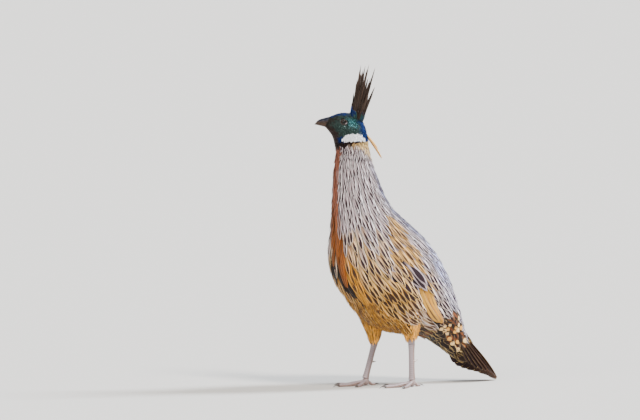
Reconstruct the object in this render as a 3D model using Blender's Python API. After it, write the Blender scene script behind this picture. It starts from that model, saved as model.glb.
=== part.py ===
"""Koklass pheasant, an adult male standing upright with its crest raised, at life size.

The bird faces -Y with +Z up, in metres, and the origin lies on the floor under the middle of its
length and width. Every outline below is given in the bird's own upright plane, where y is zero
between the feet. The head is turned a little to the bird's right on the neck. The soft plumage is
one smooth body cut at the neck and the rump. Wing, tail and crest feathers are vanes in tiers.
"""

import math

import bmesh
import bpy
import numpy as np
from mathutils import Vector

# The gap that touching pieces keep.
GAP = 0.0003

# The feet stand this far ahead of the middle of the bird's length.
STAND_Y = -0.0420

# The body's stations from the bill's root (0) to the tail's root (20): the back's line as y and z,
# the throat, breast and belly line as y and z, and half the width.
STATIONS = (
    (-0.1128, 0.4326, -0.1198, 0.4172, 0.0062),
    (-0.1071, 0.4345, -0.1180, 0.4163, 0.0088),
    (-0.0982, 0.4378, -0.1160, 0.4146, 0.0118),
    (-0.0868, 0.4394, -0.1139, 0.4125, 0.0142),
    (-0.0722, 0.4366, -0.1120, 0.4100, 0.0156),
    (-0.0592, 0.4280, -0.1095, 0.4070, 0.0170),
    (-0.0527, 0.4160, -0.1071, 0.4035, 0.0182),
    (-0.0486, 0.4000, -0.1039, 0.3950, 0.0188),
    (-0.0475, 0.3880, -0.1025, 0.3860, 0.0198),
    (-0.0455, 0.3760, -0.1010, 0.3740, 0.0215),
    (-0.0370, 0.3480, -0.1050, 0.3420, 0.0265),
    (-0.0240, 0.3160, -0.1070, 0.3000, 0.0335),
    (-0.0080, 0.2890, -0.1080, 0.2540, 0.0435),
    (0.0200, 0.2660, -0.1090, 0.2080, 0.0545),
    (0.0520, 0.2410, -0.0980, 0.1700, 0.0610),
    (0.0780, 0.2120, -0.0730, 0.1370, 0.0630),
    (0.0980, 0.1810, -0.0400, 0.1050, 0.0600),
    (0.1140, 0.1500, -0.0010, 0.0850, 0.0530),
    (0.1270, 0.1220, 0.0380, 0.0760, 0.0420),
    (0.1370, 0.0980, 0.0720, 0.0690, 0.0300),
    (0.1460, 0.0800, 0.0980, 0.0580, 0.0210),
    (0.1560, 0.0620, 0.1240, 0.0430, 0.0140),
    (0.1660, 0.0460, 0.1480, 0.0330, 0.0080),
)
HEAD_CUT = 8.35
NECK_CUT = 12.3
TAIL_CUT = 19.0
TAIL_END = 20.7

# The sections are ellipses at the head and squarer at the trunk.
HEAD_POWER = 1.0
TRUNK_POWER = 0.86

# The head is turned about an upright axis in the neck, and the neck takes the turn up.
HEAD_TURN = math.radians(-25)
TURN_Y = -0.073
TURN_FROM = 13.5
TURN_TO = 9.0

# Bill: lines of the ridge, the mouth and the lower edge from root to tip, as y and z, and half widths.
RIDGE = ((-0.1131, 0.4323), (-0.1212, 0.4303), (-0.1290, 0.4274), (-0.1352, 0.4208))
MOUTH = ((-0.1170, 0.4240), (-0.1230, 0.4240), (-0.1290, 0.4228), (-0.1343, 0.4205))
LOWER = ((-0.1196, 0.4174), (-0.1245, 0.4187), (-0.1290, 0.4198), (-0.1326, 0.4207))
BILL_WIDTHS = (0.0062, 0.0053, 0.0035, 0.0009)
LOWER_WIDTHS = (0.0056, 0.0046, 0.0027, 0.0008)
MOUTH_GAP = 0.0005
NOSTRIL = (0.0051, -0.1192, 0.4276)
NOSTRIL_RADII = (0.0010, 0.0021, 0.0010)
GAPE = (0.0, -0.1170, 0.4239)
GAPE_RADII = (0.0110, 0.0115, 0.0005)

# Eye: its place on the left side, its radius, and the ring of the lids round it.
EYE = (0.0113, -0.0903, 0.4246)
EYE_RADIUS = 0.0056
LID_AT = (0.0148, -0.0903, 0.4246)
LID_RADII = (0.0058, 0.0048)
LID_THICKNESS = 0.0010

# Legs: left and right differ, as the bird stands with its right foot forward.
HIP_X, HOCK_X, ANKLE_X = 0.034, 0.031, 0.031
LEGS = {
    "left": {"side": 1, "hip": (0.004, 0.132), "hock": (0.020, 0.0675), "ankle": (0.021, 0.0115)},
    "right": {"side": -1, "hip": (-0.030, 0.132), "hock": (-0.009, 0.0650), "ankle": (-0.026, 0.0115)},
}
THIGH_WIDTHS = (0.024, 0.0225, 0.0175, 0.0115, 0.0068)
SHANK_DEPTH, SHANK_WIDTH = 0.0043, 0.0033
SCUTE_ROWS = 10
SCUTE_RISE = 0.0007
SPUR_AT, SPUR_LENGTH, SPUR_RADIUS = 0.48, 0.0095, 0.0021

# Toes: turn from straight ahead (outwards positive), length and half width at the root.
TOES = {
    "inner": (-34, 0.038, 0.0030),
    "middle": (0, 0.052, 0.0032),
    "outer": (36, 0.041, 0.0030),
    "hind": (188, 0.017, 0.0023),
}
TOE_HEIGHT = 0.0062
HIND_RISE = 0.0085
CLAW_LENGTHS = {"inner": 0.010, "middle": 0.012, "outer": 0.010, "hind": 0.009}
FOOT_RADIUS = 0.0054

# Folded wing: its patch of the flank by stations and by turns round the body, and its thickness.
WING_T = (12.9, 18.95)
WING_LOW = (math.radians(118), math.radians(98))
WING_HIGH = (math.radians(58), math.radians(52))
WING_THICK = 0.0042
WING_SUNK = 0.003
WING_CORE_END = 0.90

# Tiers of the wing: feathers in the tier, where along the wing its roots and its tips lie, the
# shares of the width that its first and last root and its first and last tip take, half a
# feather's width, and how far its tips stand off.
WING_TIERS = (
    (4, 0.58, 0.99, (0.10, 0.42), (0.22, 0.62), 0.105, 0.0006),
    (7, 0.46, 0.86, (0.08, 0.92), (0.12, 0.90), 0.105, 0.0011),
    (6, 0.30, 0.60, (0.10, 0.90), (0.12, 0.90), 0.105, 0.0014),
    (6, 0.15, 0.42, (0.12, 0.88), (0.12, 0.90), 0.100, 0.0015),
    (5, 0.04, 0.26, (0.16, 0.84), (0.16, 0.86), 0.100, 0.0015),
)
WING_VANE = 0.0009

# Tail: root and tip of the longest feather as y and z, its pairs, and how the outer ones fold down.
TAIL_ROOT = (0.1304, 0.0898)
TAIL_TIP = (0.2118, 0.0010)
TAIL_PAIRS = 6
TAIL_SPREAD = 0.0245
TAIL_DROP = 0.034
TAIL_ROLL = math.radians(62)
TAIL_SHORTER = 0.105
TAIL_HALF_WIDTH = 0.0150
TAIL_VANE = 0.0010

# Coverts over and under the tail's root: pairs, where they start and end along the tail, and size.
UPPER_COVERTS = ((2, -0.04, 0.28), (2, 0.06, 0.44))
UNDER_COVERTS = ((2, -0.02, 0.34),)

# Crest: the plug on the crown that the feathers stand on, and the two tufts of feathers.
CREST_PLUG = (0.0, -0.0685, 0.4290)
CREST_PLUG_RADII = (0.0085, 0.0125, 0.0120)
CREST_ROOTS = ((-0.0775, 0.4350), (-0.0600, 0.4310))
CREST_TIPS = (
    (-0.0735, 0.4580),
    (-0.0660, 0.4920),
    (-0.0600, 0.5150),
    (-0.0530, 0.5140),
    (-0.0470, 0.5150),
    (-0.0445, 0.4930),
    (-0.0370, 0.5110),
    (-0.0370, 0.4800),
)
CREST_OUT = (0.0022, 0.0115)
CREST_HALF_WIDTH = 0.0019
CREST_VANE = 0.0009

# Buff plume behind the nape: root and tips as y and z.
PLUME_ROOT = (-0.0545, 0.4075)
PLUME_TIPS = ((-0.0262, 0.3655), (-0.0290, 0.3720), (-0.0330, 0.3800))

# Colours as linear red, green and blue.
INK = (0.012, 0.030, 0.024)
SILVER = (0.42, 0.38, 0.36)
BUFF = (0.46, 0.31, 0.15)
BROWN = (0.060, 0.036, 0.024)
WING_BROWN = (0.30, 0.20, 0.11)
HORN = (0.035, 0.030, 0.034)
LEG_GREY = (0.33, 0.30, 0.34)
EYE_BROWN = (0.020, 0.009, 0.005)


def clear_scene():
    for obj in list(bpy.data.objects):
        bpy.data.objects.remove(obj, do_unlink=True)


def parts_collection():
    return bpy.context.scene.collection.children["koklass_pheasant"]


def material(name, colour, roughness, metallic=0.0):
    """One Principled finish."""
    made = bpy.data.materials.new(name)
    made.use_nodes = True
    shader = made.node_tree.nodes["Principled BSDF"]
    shader.inputs["Base Color"].default_value = (*colour, 1.0)
    shader.inputs["Roughness"].default_value = roughness
    shader.inputs["Metallic"].default_value = metallic
    return made


def along(keys, t):
    """Cubic curve through the rows of keys, which lie one unit of t apart."""
    keys = np.asarray(keys, float)
    t = np.clip(np.asarray(t, float), 0, len(keys) - 1)
    i = np.minimum(t.astype(int), len(keys) - 2)
    f = t - i
    if keys.ndim > 1:
        f = f[..., None]
    slope = np.gradient(keys, axis=0)
    return (
        keys[i] * (2 * f**3 - 3 * f**2 + 1)
        + slope[i] * (f**3 - 2 * f**2 + f)
        + keys[i + 1] * (3 * f**2 - 2 * f**3)
        + slope[i + 1] * (f**3 - f**2)
    )


def ease(u):
    """Smooth step from 0 to 1."""
    u = np.clip(u, 0, 1)
    return u * u * (3 - 2 * u)


def unit(vectors):
    return vectors / np.linalg.norm(vectors, axis=-1, keepdims=True)


def turned(points, angle):
    """Points turned about the neck's upright axis."""
    cos, sin = np.cos(angle), np.sin(angle)
    x, y = points[..., 0], points[..., 1] - TURN_Y
    return np.stack([x * cos - y * sin, x * sin + y * cos + TURN_Y, points[..., 2]], -1)


def coat_point(t, phi, turn=True):
    """Point of the coat at station t, phi round from the back's line over the left side."""
    t, phi = np.broadcast_arrays(np.asarray(t, float), np.asarray(phi, float))
    row = along(STATIONS, t)
    middle = (row[..., 0:2] + row[..., 2:4]) / 2
    half = (row[..., 0:2] - row[..., 2:4]) / 2
    power = HEAD_POWER + (TRUNK_POWER - HEAD_POWER) * ease((t - 9) / 4)
    cos = np.sign(np.cos(phi)) * np.abs(np.cos(phi)) ** power
    sin = np.sign(np.sin(phi)) * np.abs(np.sin(phi)) ** power
    line = middle + half * cos[..., None]
    points = np.stack([row[..., 4] * sin, line[..., 0], line[..., 1]], -1)
    if not turn:
        return points
    return turned(points, HEAD_TURN * ease((TURN_FROM - t) / (TURN_FROM - TURN_TO)))


def coat_normal(t, phi):
    """Outward direction of the coat there."""
    near, round_step = 0.02, 0.02
    down = coat_point(t + near, phi) - coat_point(t - near, phi)
    across = coat_point(t, phi + round_step) - coat_point(t, phi - round_step)
    return unit(np.cross(across, down))


def beside_cut(t, away):
    """Station half a gap from station t along the body, on the side that away names."""
    ring = np.linspace(0, 2 * np.pi, 12, endpoint=False)
    speed = np.linalg.norm(coat_point(t + 0.05, ring) - coat_point(t - 0.05, ring), axis=-1).min() / 0.1
    return t + away * 0.6 * GAP / speed


def tube(rings):
    """Vertices and triangles of a closed loft through the rings, an array of rings by points by 3.

    Both ends are capped from their middles. Opposite sides are cut along the same diagonals, so a
    flat strip keeps its thickness everywhere.
    """
    count, sides = rings.shape[:2]
    points = [*rings.reshape(-1, 3), rings[0].mean(axis=0), rings[-1].mean(axis=0)]
    start, end = len(points) - 2, len(points) - 1
    faces = []
    for j in range(sides):
        k = (j + 1) % sides
        faces.append((start, k, j))
        faces.append((end, (count - 1) * sides + j, (count - 1) * sides + k))
        for i in range(count - 1):
            a, b = i * sides + j, i * sides + k
            c, d = a + sides, b + sides
            if j < sides // 2:
                faces += [(a, b, d), (a, d, c)]
            else:
                faces += [(a, b, c), (b, d, c)]
    return np.array(points), faces


def round_sections(path, depths, widths, sides, across=(1, 0, 0)):
    """Ellipses carried along a path: widths lie along the across direction, depths square to it."""
    path = np.asarray(path, float)
    across = np.asarray(across, float)
    run = unit(np.gradient(path, axis=0))
    side = unit(across - run * (run @ across)[:, None])
    up = np.cross(run, side)
    angle = np.linspace(0, 2 * np.pi, sides, endpoint=False)
    return (
        path[:, None]
        + side[:, None] * (np.cos(angle)[None, :, None] * np.asarray(widths)[:, None, None])
        + up[:, None] * (np.sin(angle)[None, :, None] * np.asarray(depths)[:, None, None])
    )


def strip_sections(path, normals, half_widths, thick):
    """Four-cornered sections of a feather's vane along a path."""
    path = np.asarray(path, float)
    side = unit(np.cross(normals, unit(np.gradient(path, axis=0))))
    out = side * np.asarray(half_widths)[:, None]
    up = np.asarray(normals) * (np.asarray(thick) * 0.5 * np.ones(len(path)))[:, None]
    return np.stack([path - out + up, path + out + up, path + out - up, path - out - up], axis=1)


def add(name, shape, finish, parent):
    """A named object from vertices and triangles, with its faces pointing out."""
    points, faces = shape
    mesh = bpy.data.meshes.new(name)
    mesh.from_pydata([tuple(p) for p in points], [], [tuple(f) for f in faces])
    build = bmesh.new()
    build.from_mesh(mesh)
    if build.calc_volume(signed=True) < 0:
        bmesh.ops.reverse_faces(build, faces=build.faces)
    build.to_mesh(mesh)
    build.free()
    mesh.shade_smooth()
    mesh.set_sharp_from_angle(angle=math.radians(50))
    obj = bpy.data.objects.new(name, mesh)
    obj.parent = parent
    parts_collection().objects.link(obj)
    if finish is not None:
        mesh.materials.append(finish)
    bpy.context.view_layer.update()
    return obj


def adopt(name, place, finish, parent, reshape):
    """Names the primitive just added, reshapes its vertices and hangs it in its place."""
    obj = bpy.context.object
    obj.name = obj.data.name = name
    for home in list(obj.users_collection):
        home.objects.unlink(obj)
    parts_collection().objects.link(obj)
    for vert in obj.data.vertices:
        vert.co = reshape(vert.co)
    obj.data.shade_smooth()
    obj.location = place
    obj.parent = parent
    if finish is not None:
        obj.data.materials.append(finish)
    bpy.context.view_layer.update()
    return obj


def ball(name, place, radii, segments, rings, finish, parent):
    """An ellipsoid from the sphere primitive."""
    bpy.ops.mesh.primitive_uv_sphere_add(segments=segments, ring_count=rings, radius=1.0)
    return adopt(name, place, finish, parent, lambda co: Vector(a * b for a, b in zip(co, radii)))


def settle(obj):
    """Applies the object's modifiers and keeps its largest closed surface."""
    bpy.context.view_layer.update()
    graph = bpy.context.evaluated_depsgraph_get()
    mesh = bpy.data.meshes.new_from_object(obj.evaluated_get(graph))
    obj.modifiers.clear()
    obj.data = mesh
    build = bmesh.new()
    build.from_mesh(mesh)
    left, best = set(build.verts), None
    while left:
        island, edge = set(), [left.pop()]
        while edge:
            vert = edge.pop()
            island.add(vert)
            for link in vert.link_edges:
                other = link.other_vert(vert)
                if other in left:
                    left.discard(other)
                    edge.append(other)
        faces = {face for vert in island for face in vert.link_faces}
        size = sum(face.calc_area() * face.normal.dot(face.calc_center_median()) for face in faces)
        if best is None or size > best[0]:
            best = (size, island)
    loose = [vert for vert in build.verts if vert not in best[1]]
    bmesh.ops.delete(build, geom=loose, context="VERTS")
    build.to_mesh(mesh)
    build.free()
    return obj


def fuse(core, pieces):
    """One Boolean union joins the pieces to the core."""
    group = bpy.data.collections.new("pieces_of_" + core.name)
    for piece in pieces:
        for home in list(piece.users_collection):
            home.objects.unlink(piece)
        group.objects.link(piece)
    bpy.context.scene.collection.children.link(group)
    joined = core.modifiers.new("joined", "BOOLEAN")
    joined.operation = "UNION"
    joined.operand_type = "COLLECTION"
    joined.collection = group
    joined.solver = "MANIFOLD"
    settle(core)
    for piece in pieces:
        bpy.data.objects.remove(piece, do_unlink=True)
    bpy.data.collections.remove(group)
    return core


def cut_out(obj, cutters):
    """Cuts the cutters out of the object and removes them."""
    for cutter in cutters:
        cut = obj.modifiers.new("cut", "BOOLEAN")
        cut.operation = "DIFFERENCE"
        cut.object = cutter
        cut.solver = "MANIFOLD"
    settle(obj)
    for cutter in cutters:
        bpy.data.objects.remove(cutter, do_unlink=True)
    return obj


def swollen(obj):
    """A helper copy of the object that stands out from it by the gap on every side."""
    copy = obj.copy()
    copy.data = obj.data.copy()
    copy.name = obj.name + "_room"
    copy.hide_render = True
    copy.display_type = "WIRE"
    bpy.context.scene.collection.children["cutters"].objects.link(copy)
    build = bmesh.new()
    build.from_mesh(copy.data)
    build.normal_update()
    moves = [(vert, vert.normal * GAP * min(vert.calc_shell_factor(), 2.0)) for vert in build.verts]
    for vert, move in moves:
        vert.co += move
    build.to_mesh(copy.data)
    build.free()
    return copy


def carve(obj, *others):
    """Cuts from the object the room that its neighbours take, with the gap round them."""
    return cut_out(obj, [swollen(other) for other in others])


def body_piece(name, first, last, rings, sides, finish, parent, turn=True):
    """The body between two stations, as a closed loft."""
    t = np.linspace(first, last, rings)[:, None]
    phi = np.linspace(0, 2 * np.pi, sides, endpoint=False)[None, :]
    return add(name, tube(coat_point(t, phi, turn)), finish, parent)


def make_head(finish, parent):
    """Skull with its feathers, the lids round each eye, the sockets and the corner of the mouth."""
    head = body_piece("head", 0, beside_cut(HEAD_CUT, -1), 17, 18, finish["ink"], parent, turn=False)
    lids = []
    for side in (1, -1):
        bpy.ops.mesh.primitive_torus_add(
            major_segments=14, minor_segments=6, major_radius=1.0, minor_radius=0.2
        )
        thick = LID_THICKNESS / 0.2
        lids.append(
            adopt(
                f"lid_{side}",
                (LID_AT[0] * side, LID_AT[1], LID_AT[2]),
                None,
                parent,
                lambda co: Vector((co.z * thick * 2.4, co.x * LID_RADII[0], co.y * LID_RADII[1])),
            )
        )
    fuse(head, lids)
    cut_out(head, [ball("gape", GAPE, GAPE_RADII, 16, 4, None, parent)])
    eyes = []
    for name, side in (("left", 1), ("right", -1)):
        place = (EYE[0] * side, EYE[1], EYE[2])
        eyes.append(ball(f"eye_{name}", place, (EYE_RADIUS,) * 3, 12, 8, finish["eye"], parent))
    return carve(head, *eyes)


def extended(keys, u):
    """The curve through the keys, carried on straight before its first one."""
    keys = np.asarray(keys, float)
    return along(keys, u) + np.minimum(u, 0)[:, None] * (keys[1] - keys[0])


def make_bill(finish, parent, head):
    """Upper and lower halves of the bill, with the line of the mouth open between them."""
    u = np.array((-0.5, 0.3, 0.9, 1.5, 2.1, 2.6, 3.0))
    ridge, mouth, lower = (extended(keys, u) for keys in (RIDGE, MOUTH, LOWER))
    halves = []
    for name, outer, widths, drop in (
        ("bill_upper", ridge, BILL_WIDTHS, 0.0),
        ("bill_lower", lower, LOWER_WIDTHS, MOUTH_GAP),
    ):
        width = np.interp(u, range(4), widths)
        arc = np.linspace(-np.pi / 2, np.pi / 2, 7)
        rings = np.zeros((len(u), len(arc), 3))
        rings[..., 0] = width[:, None] * np.sin(arc)[None]
        bulge = np.abs(np.cos(arc)) ** 0.9
        rings[..., 1:] = mouth[:, None] + (outer - mouth)[:, None] * bulge[None, :, None]
        rings[..., 2] -= drop
        halves.append(add(name, tube(rings), finish["horn"], parent))
    holes = [
        ball(f"nostril_{side}", (NOSTRIL[0] * side, NOSTRIL[1], NOSTRIL[2]), NOSTRIL_RADII, 8, 5, None, parent)
        for side in (1, -1)
    ]
    cut_out(halves[0], holes)
    for half in halves:
        carve(half, head)


def make_crest(finish, parent, head):
    """Two tufts of narrow upright feathers on the crown, spread in a slight V."""
    rng = np.random.default_rng(11)
    plug = ball("crest", CREST_PLUG, CREST_PLUG_RADII, 12, 8, finish["ink"], parent)
    share = np.array((0, 0.36, 0.74, 1.0))
    outline = np.array((0.75, 1.0, 0.85, 0.3))
    vanes = []
    for side in (1, -1):
        for i, tip in enumerate(CREST_TIPS):
            part = i / (len(CREST_TIPS) - 1)
            base = np.array(CREST_ROOTS[0]) * (1 - part) + np.array(CREST_ROOTS[1]) * part
            out = rng.uniform(0.75, 1.15, 2)
            root = np.array((side * CREST_OUT[0] * out[0], base[0], base[1] - 0.004))
            tall = 1 if side > 0 else rng.uniform(0.86, 0.98)
            end = np.array((side * CREST_OUT[1] * out[1], tip[0], root[2] + (tip[1] - root[2]) * tall))
            path = root + (end - root) * share[:, None]
            path[:, 1] += 0.0035 * np.sin(share * np.pi) * (1 - 2 * part)
            face = unit(np.array((side * 0.9, rng.uniform(-0.5, 0.5), 0.1)))
            normals = np.tile(face, (len(share), 1))
            sections = strip_sections(path, normals, CREST_HALF_WIDTH * outline, CREST_VANE)
            vanes.append(add(f"crest_{side}_{i}", tube(sections), None, parent))
    return carve(fuse(plug, vanes), head)


def make_plume(finish, parent, head):
    """Buff strands that hang behind the nape, joined at their root."""
    share = np.linspace(0, 1, 5)[:, None]
    strands = []
    for i, tip in enumerate(PLUME_TIPS):
        root = np.array((0, *PLUME_ROOT))
        path = root + (np.array(((i - 1) * 0.0022, *tip)) - root) * share
        path[:, 1] += 0.002 * np.sin(share[:, 0] * np.pi)
        thick = np.linspace(0.0014, 0.0005, 5)
        sections = round_sections(path, thick, thick * 1.4, 5)
        strands.append(add(f"crest_buff_{i}", tube(sections), finish["buff"], parent))
    plume = strands.pop(0)
    plume.name = "crest_buff"
    return carve(fuse(plume, strands), head)


def wing_place(side, u, s, lift):
    """Point of the folded wing: u from wrist to tip, s across from the lower edge to the upper."""
    u, s, lift = np.broadcast_arrays(u, s, lift)
    t = WING_T[0] + (WING_T[1] - WING_T[0]) * u
    low = WING_LOW[0] + (WING_LOW[1] - WING_LOW[0]) * u
    high = WING_HIGH[0] + (WING_HIGH[1] - WING_HIGH[0]) * u
    phi = side * (low + (high - low) * (0.5 + (s - 0.5) * wing_spread(u)))
    return coat_point(t, phi) + coat_normal(t, phi) * lift[..., None]


def wing_spread(u):
    """Share of its full width that the folded wing has at u."""
    return np.sin(np.pi * np.clip(0.03 + 0.94 * u, 0, 0.97)) ** 0.45


def wing_height(u, s):
    """Height of the wing's core over the flank."""
    return WING_THICK * ease(0.15 + u * 5) * wing_spread(u) * np.clip(1 - (2 * s - 1) ** 2, 0, 1) ** 0.4


def make_wing(name, side, finish, parent, torso):
    """Folded wing: a core that follows the flank, with tiers of coverts, secondaries and primaries."""
    rng = np.random.default_rng(5)
    u = np.linspace(0.0, WING_CORE_END, 10)[:, None]
    around = np.linspace(0, 2 * np.pi, 14, endpoint=False)[None]
    s = 0.5 + 0.5 * np.cos(around)
    lift = np.where(np.sin(around) > 0, wing_height(u, s), WING_SUNK * np.sin(around))
    wing = add(f"wing_{name}", tube(wing_place(side, u, s, lift)), finish["wing"], parent)
    share = np.array((0, 0.35, 0.75, 1.0))
    outline = np.array((0.7, 1.0, 0.88, 0.30))
    vanes = []
    for tier, (count, u0, u1, roots, tips, half, stand) in enumerate(WING_TIERS):
        for i in range(count):
            part = i / (count - 1)
            reach = u1 + rng.uniform(-0.02, 0.02) - 0.08 * abs(part - 0.55)
            along_u = u0 + (reach - u0) * share
            s0 = roots[0] + (roots[1] - roots[0]) * part
            s1 = tips[0] + (tips[1] - tips[0]) * part
            across = s0 + (s1 - s0) * share + rng.uniform(-0.006, 0.006)
            wide = half * outline
            top = wing_height(along_u, across) - 0.0014 + (0.0014 + stand) * share
            low_edge, high_edge = top + 0.0004, top - 0.0003
            sections = np.stack(
                [
                    wing_place(side, along_u, across - wide, low_edge),
                    wing_place(side, along_u, across + wide, high_edge),
                    wing_place(side, along_u, across + wide, high_edge - WING_VANE),
                    wing_place(side, along_u, across - wide, low_edge - WING_VANE),
                ],
                axis=1,
            )
            vanes.append(add(f"vane_{name}_{tier}_{i}", tube(sections), None, parent))
    return carve(fuse(wing, vanes), torso)


def tail_axes():
    """Direction of the tail and the direction square to it and down, in the bird's upright plane."""
    run = unit(np.array(TAIL_TIP) - np.array(TAIL_ROOT))
    return np.array((0, *run)), np.array((0, run[1], -run[0]))


def tail_vane(name, side, start, end, fold, half_width, sink, parent):
    """A tail feather: start and end are shares of the tail's length, fold 0 at the ridge, 1 outermost."""
    run, down = tail_axes()
    length = np.linalg.norm(np.array(TAIL_TIP) - np.array(TAIL_ROOT))
    root = np.array((0, *TAIL_ROOT))
    share = np.array((0, 0.35, 0.8, 1.0))
    outline = np.array((0.5, 0.95, 0.92, 0.30))
    place = start + (end - start) * share
    open_out = 0.45 + 0.55 * ease(place * 1.3)
    x = side * (0.0008 + TAIL_SPREAD * np.sin(fold * 1.25) / np.sin(1.25) * open_out)
    drop = TAIL_DROP * (1 - np.cos(fold * 1.35)) / (1 - np.cos(1.35)) * open_out + sink
    bow = 0.0018 * np.sin(np.clip(place, 0, 1) * np.pi)
    path = root + run * (place * length)[:, None] + down * (drop - bow)[:, None]
    path[:, 0] = x
    path[:, 2] = np.maximum(path[:, 2], TAIL_VANE * 0.5)
    roll = TAIL_ROLL * fold + math.radians(4)
    normal = np.array((side * math.sin(roll), 0, 0)) - down * math.cos(roll)
    sections = strip_sections(path, np.tile(normal, (len(share), 1)), half_width * outline, TAIL_VANE)
    sections[..., 2] = np.maximum(sections[..., 2], 0.0)
    return add(name, tube(sections), None, parent)


def make_tail(finish, parent, torso, wings):
    """Tail's root with its pairs of graduated feathers and the coverts over and under them."""
    rng = np.random.default_rng(3)
    core = body_piece("tail", beside_cut(TAIL_CUT, 1), TAIL_END, 6, 16, finish["brown"], parent)
    vanes = []
    for side in (1, -1):
        for pair in range(TAIL_PAIRS):
            fold = pair / (TAIL_PAIRS - 1)
            end = 1.0 - TAIL_SHORTER * pair * (0.75 + 0.25 * fold) + rng.uniform(-0.008, 0.008)
            half_width = TAIL_HALF_WIDTH * (1 - 0.22 * fold)
            sink = 0.0005 * pair + (0.0011 if side < 0 else 0)
            vanes.append(tail_vane(f"rectrix_{side}_{pair}", side, 0.0, end, fold, half_width, sink, parent))
        for row, (pairs, start, end) in enumerate(UPPER_COVERTS):
            for i in range(pairs):
                fold = (i + 0.25 + 0.4 * row) / pairs * 0.75
                reach = end - 0.05 * i + rng.uniform(-0.01, 0.01)
                name = f"upper_{side}_{row}_{i}"
                vanes.append(tail_vane(name, side, start, reach, fold, 0.0105, -0.0040 + 0.0016 * row, parent))
        for row, (pairs, start, end) in enumerate(UNDER_COVERTS):
            for i in range(pairs):
                fold = 0.55 + 0.4 * (i + 0.2) / pairs
                name = f"under_{side}_{row}_{i}"
                vanes.append(tail_vane(name, side, start, end, fold, 0.0115, 0.0075 - 0.002 * row, parent))
    return carve(fuse(core, vanes), torso, *wings)


def leg_point(side, x, place):
    return np.array((side * x, place[0], place[1]))


def make_leg(name, finish, parent, torso, wing):
    """Feathered thigh, scaled shank with its spur, foot and claws of one side."""
    leg = LEGS[name]
    side = leg["side"]
    hip = leg_point(side, HIP_X, leg["hip"])
    hock = leg_point(side, HOCK_X, leg["hock"])
    ankle = leg_point(side, ANKLE_X, leg["ankle"])
    share = np.linspace(0, 1, 8)[:, None]
    path = hip + (hock - hip) * share + np.array((0, 0.004, 0)) * np.sin(share * np.pi)
    width = np.interp(share[:, 0], np.linspace(0, 1, len(THIGH_WIDTHS)), THIGH_WIDTHS)
    thigh = add(f"thigh_{name}", tube(round_sections(path, width * 1.1, width, 12)), finish["buff"], parent)
    carve(thigh, torso, wing)
    shank = make_shank(name, finish, parent, hock, ankle)
    foot = make_foot(name, side, finish, parent, ankle)
    carve(shank, foot, thigh)
    make_spur(name, finish, parent, shank, hock, ankle)


def make_shank(name, finish, parent, top, bottom):
    """Shank with a row of scutes down its front, each a plate that stands out at its lower edge."""
    places, rises = [], []
    for row in range(SCUTE_ROWS):
        places += [(row + 0.02) / SCUTE_ROWS, (row + 0.92) / SCUTE_ROWS]
        rises += [0.0, SCUTE_RISE]
    share = np.array(places)
    swell = 1 + 0.22 * (2 * share - 1) ** 4
    path = top + (bottom - top) * share[:, None]
    rings = round_sections(path, SHANK_DEPTH * swell, SHANK_WIDTH * swell, 10)
    ahead = unit(rings - path[:, None])
    front = np.clip(0.35 - ahead[..., 1], 0, 1)
    rings = rings + ahead * (front * np.array(rises)[:, None])[..., None]
    return add(f"shank_{name}", tube(rings), finish["leg"], parent)


def pressed(rings):
    """Sections with whatever would sink below the floor pressed flat on it."""
    flat = rings.copy()
    flat[..., 2] = np.maximum(flat[..., 2], 0.0)
    return flat


def make_foot(name, side, finish, parent, ankle):
    """Four toes fused to the ball of the foot, with flat soles, and a claw for each toe."""
    place = (ankle[0], ankle[1], FOOT_RADIUS * 1.2)
    radii = (FOOT_RADIUS, FOOT_RADIUS * 1.15, FOOT_RADIUS * 1.2)
    foot = ball(f"foot_{name}", place, radii, 10, 7, finish["leg"], parent)
    toes, nails = [], []
    for toe, (turn, length, width) in TOES.items():
        angle = math.radians(turn)
        ahead = np.array((side * math.sin(angle), -math.cos(angle), 0))
        across = np.cross(ahead, (0, 0, 1))
        share = np.linspace(0, 1, 9)
        pads = 1 - 0.34 * share + 0.13 * np.cos(share * np.pi * 4)
        rise = HIND_RISE if toe == "hind" else TOE_HEIGHT
        path = ankle * (1, 1, 0) + ahead * (share * length)[:, None]
        sole = width * 0.6
        path[:, 2] = sole + (rise - sole) * (1 - ease(share * 1.3))
        rings = round_sections(path, width * pads * 1.1, width * pads, 7, across)
        toes.append(add(f"toe_{toe}_{name}", tube(pressed(rings)), None, parent))
        nails.append((toe, path[-1], ahead, across, width * pads[-1]))
    fuse(foot, toes)
    for toe, tip, ahead, across, width in nails:
        share = np.linspace(-0.25, 1, 6)
        past = np.clip(share, 0, 1)
        path = tip + ahead * (share * CLAW_LENGTHS[toe])[:, None]
        path[:, 2] = tip[2] + 0.0016 * np.sin(np.clip(share + 0.2, 0, 1.2) * 2.2) - 0.0024 * past**2
        thick = width * 0.85 * (1 - 0.86 * past)
        rings = round_sections(path, thick, thick * 0.8, 6, across)
        claw = add(f"claw_{toe}_{name}", tube(pressed(rings)), finish["horn"], parent)
        carve(claw, foot)
    return foot


def make_spur(name, finish, parent, shank, hock, ankle):
    """The blunt horn spur on the back of the shank."""
    run = unit(ankle - hock)
    out = unit(np.array((0, 1, 0)) - run * run[1])
    share = np.linspace(-0.2, 1, 5)
    past = np.clip(share, 0, 1)
    root = hock + (ankle - hock) * SPUR_AT + out * (SHANK_DEPTH * 0.6)
    path = root + out * (share * SPUR_LENGTH)[:, None]
    path[:, 2] += 0.0022 * past**2
    thick = SPUR_RADIUS * (1 - 0.8 * past)
    spur = add(f"spur_{name}", tube(round_sections(path, thick, thick, 7)), finish["horn"], parent)
    return carve(spur, shank)


def frame_empty(name, place, turn, parent):
    """An empty that carries what hangs on it."""
    made = bpy.data.objects.new(name, None)
    made.location = place
    made.rotation_euler = (0, 0, turn)
    made.parent = parent
    bpy.context.scene.collection.objects.link(made)
    return made


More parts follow.
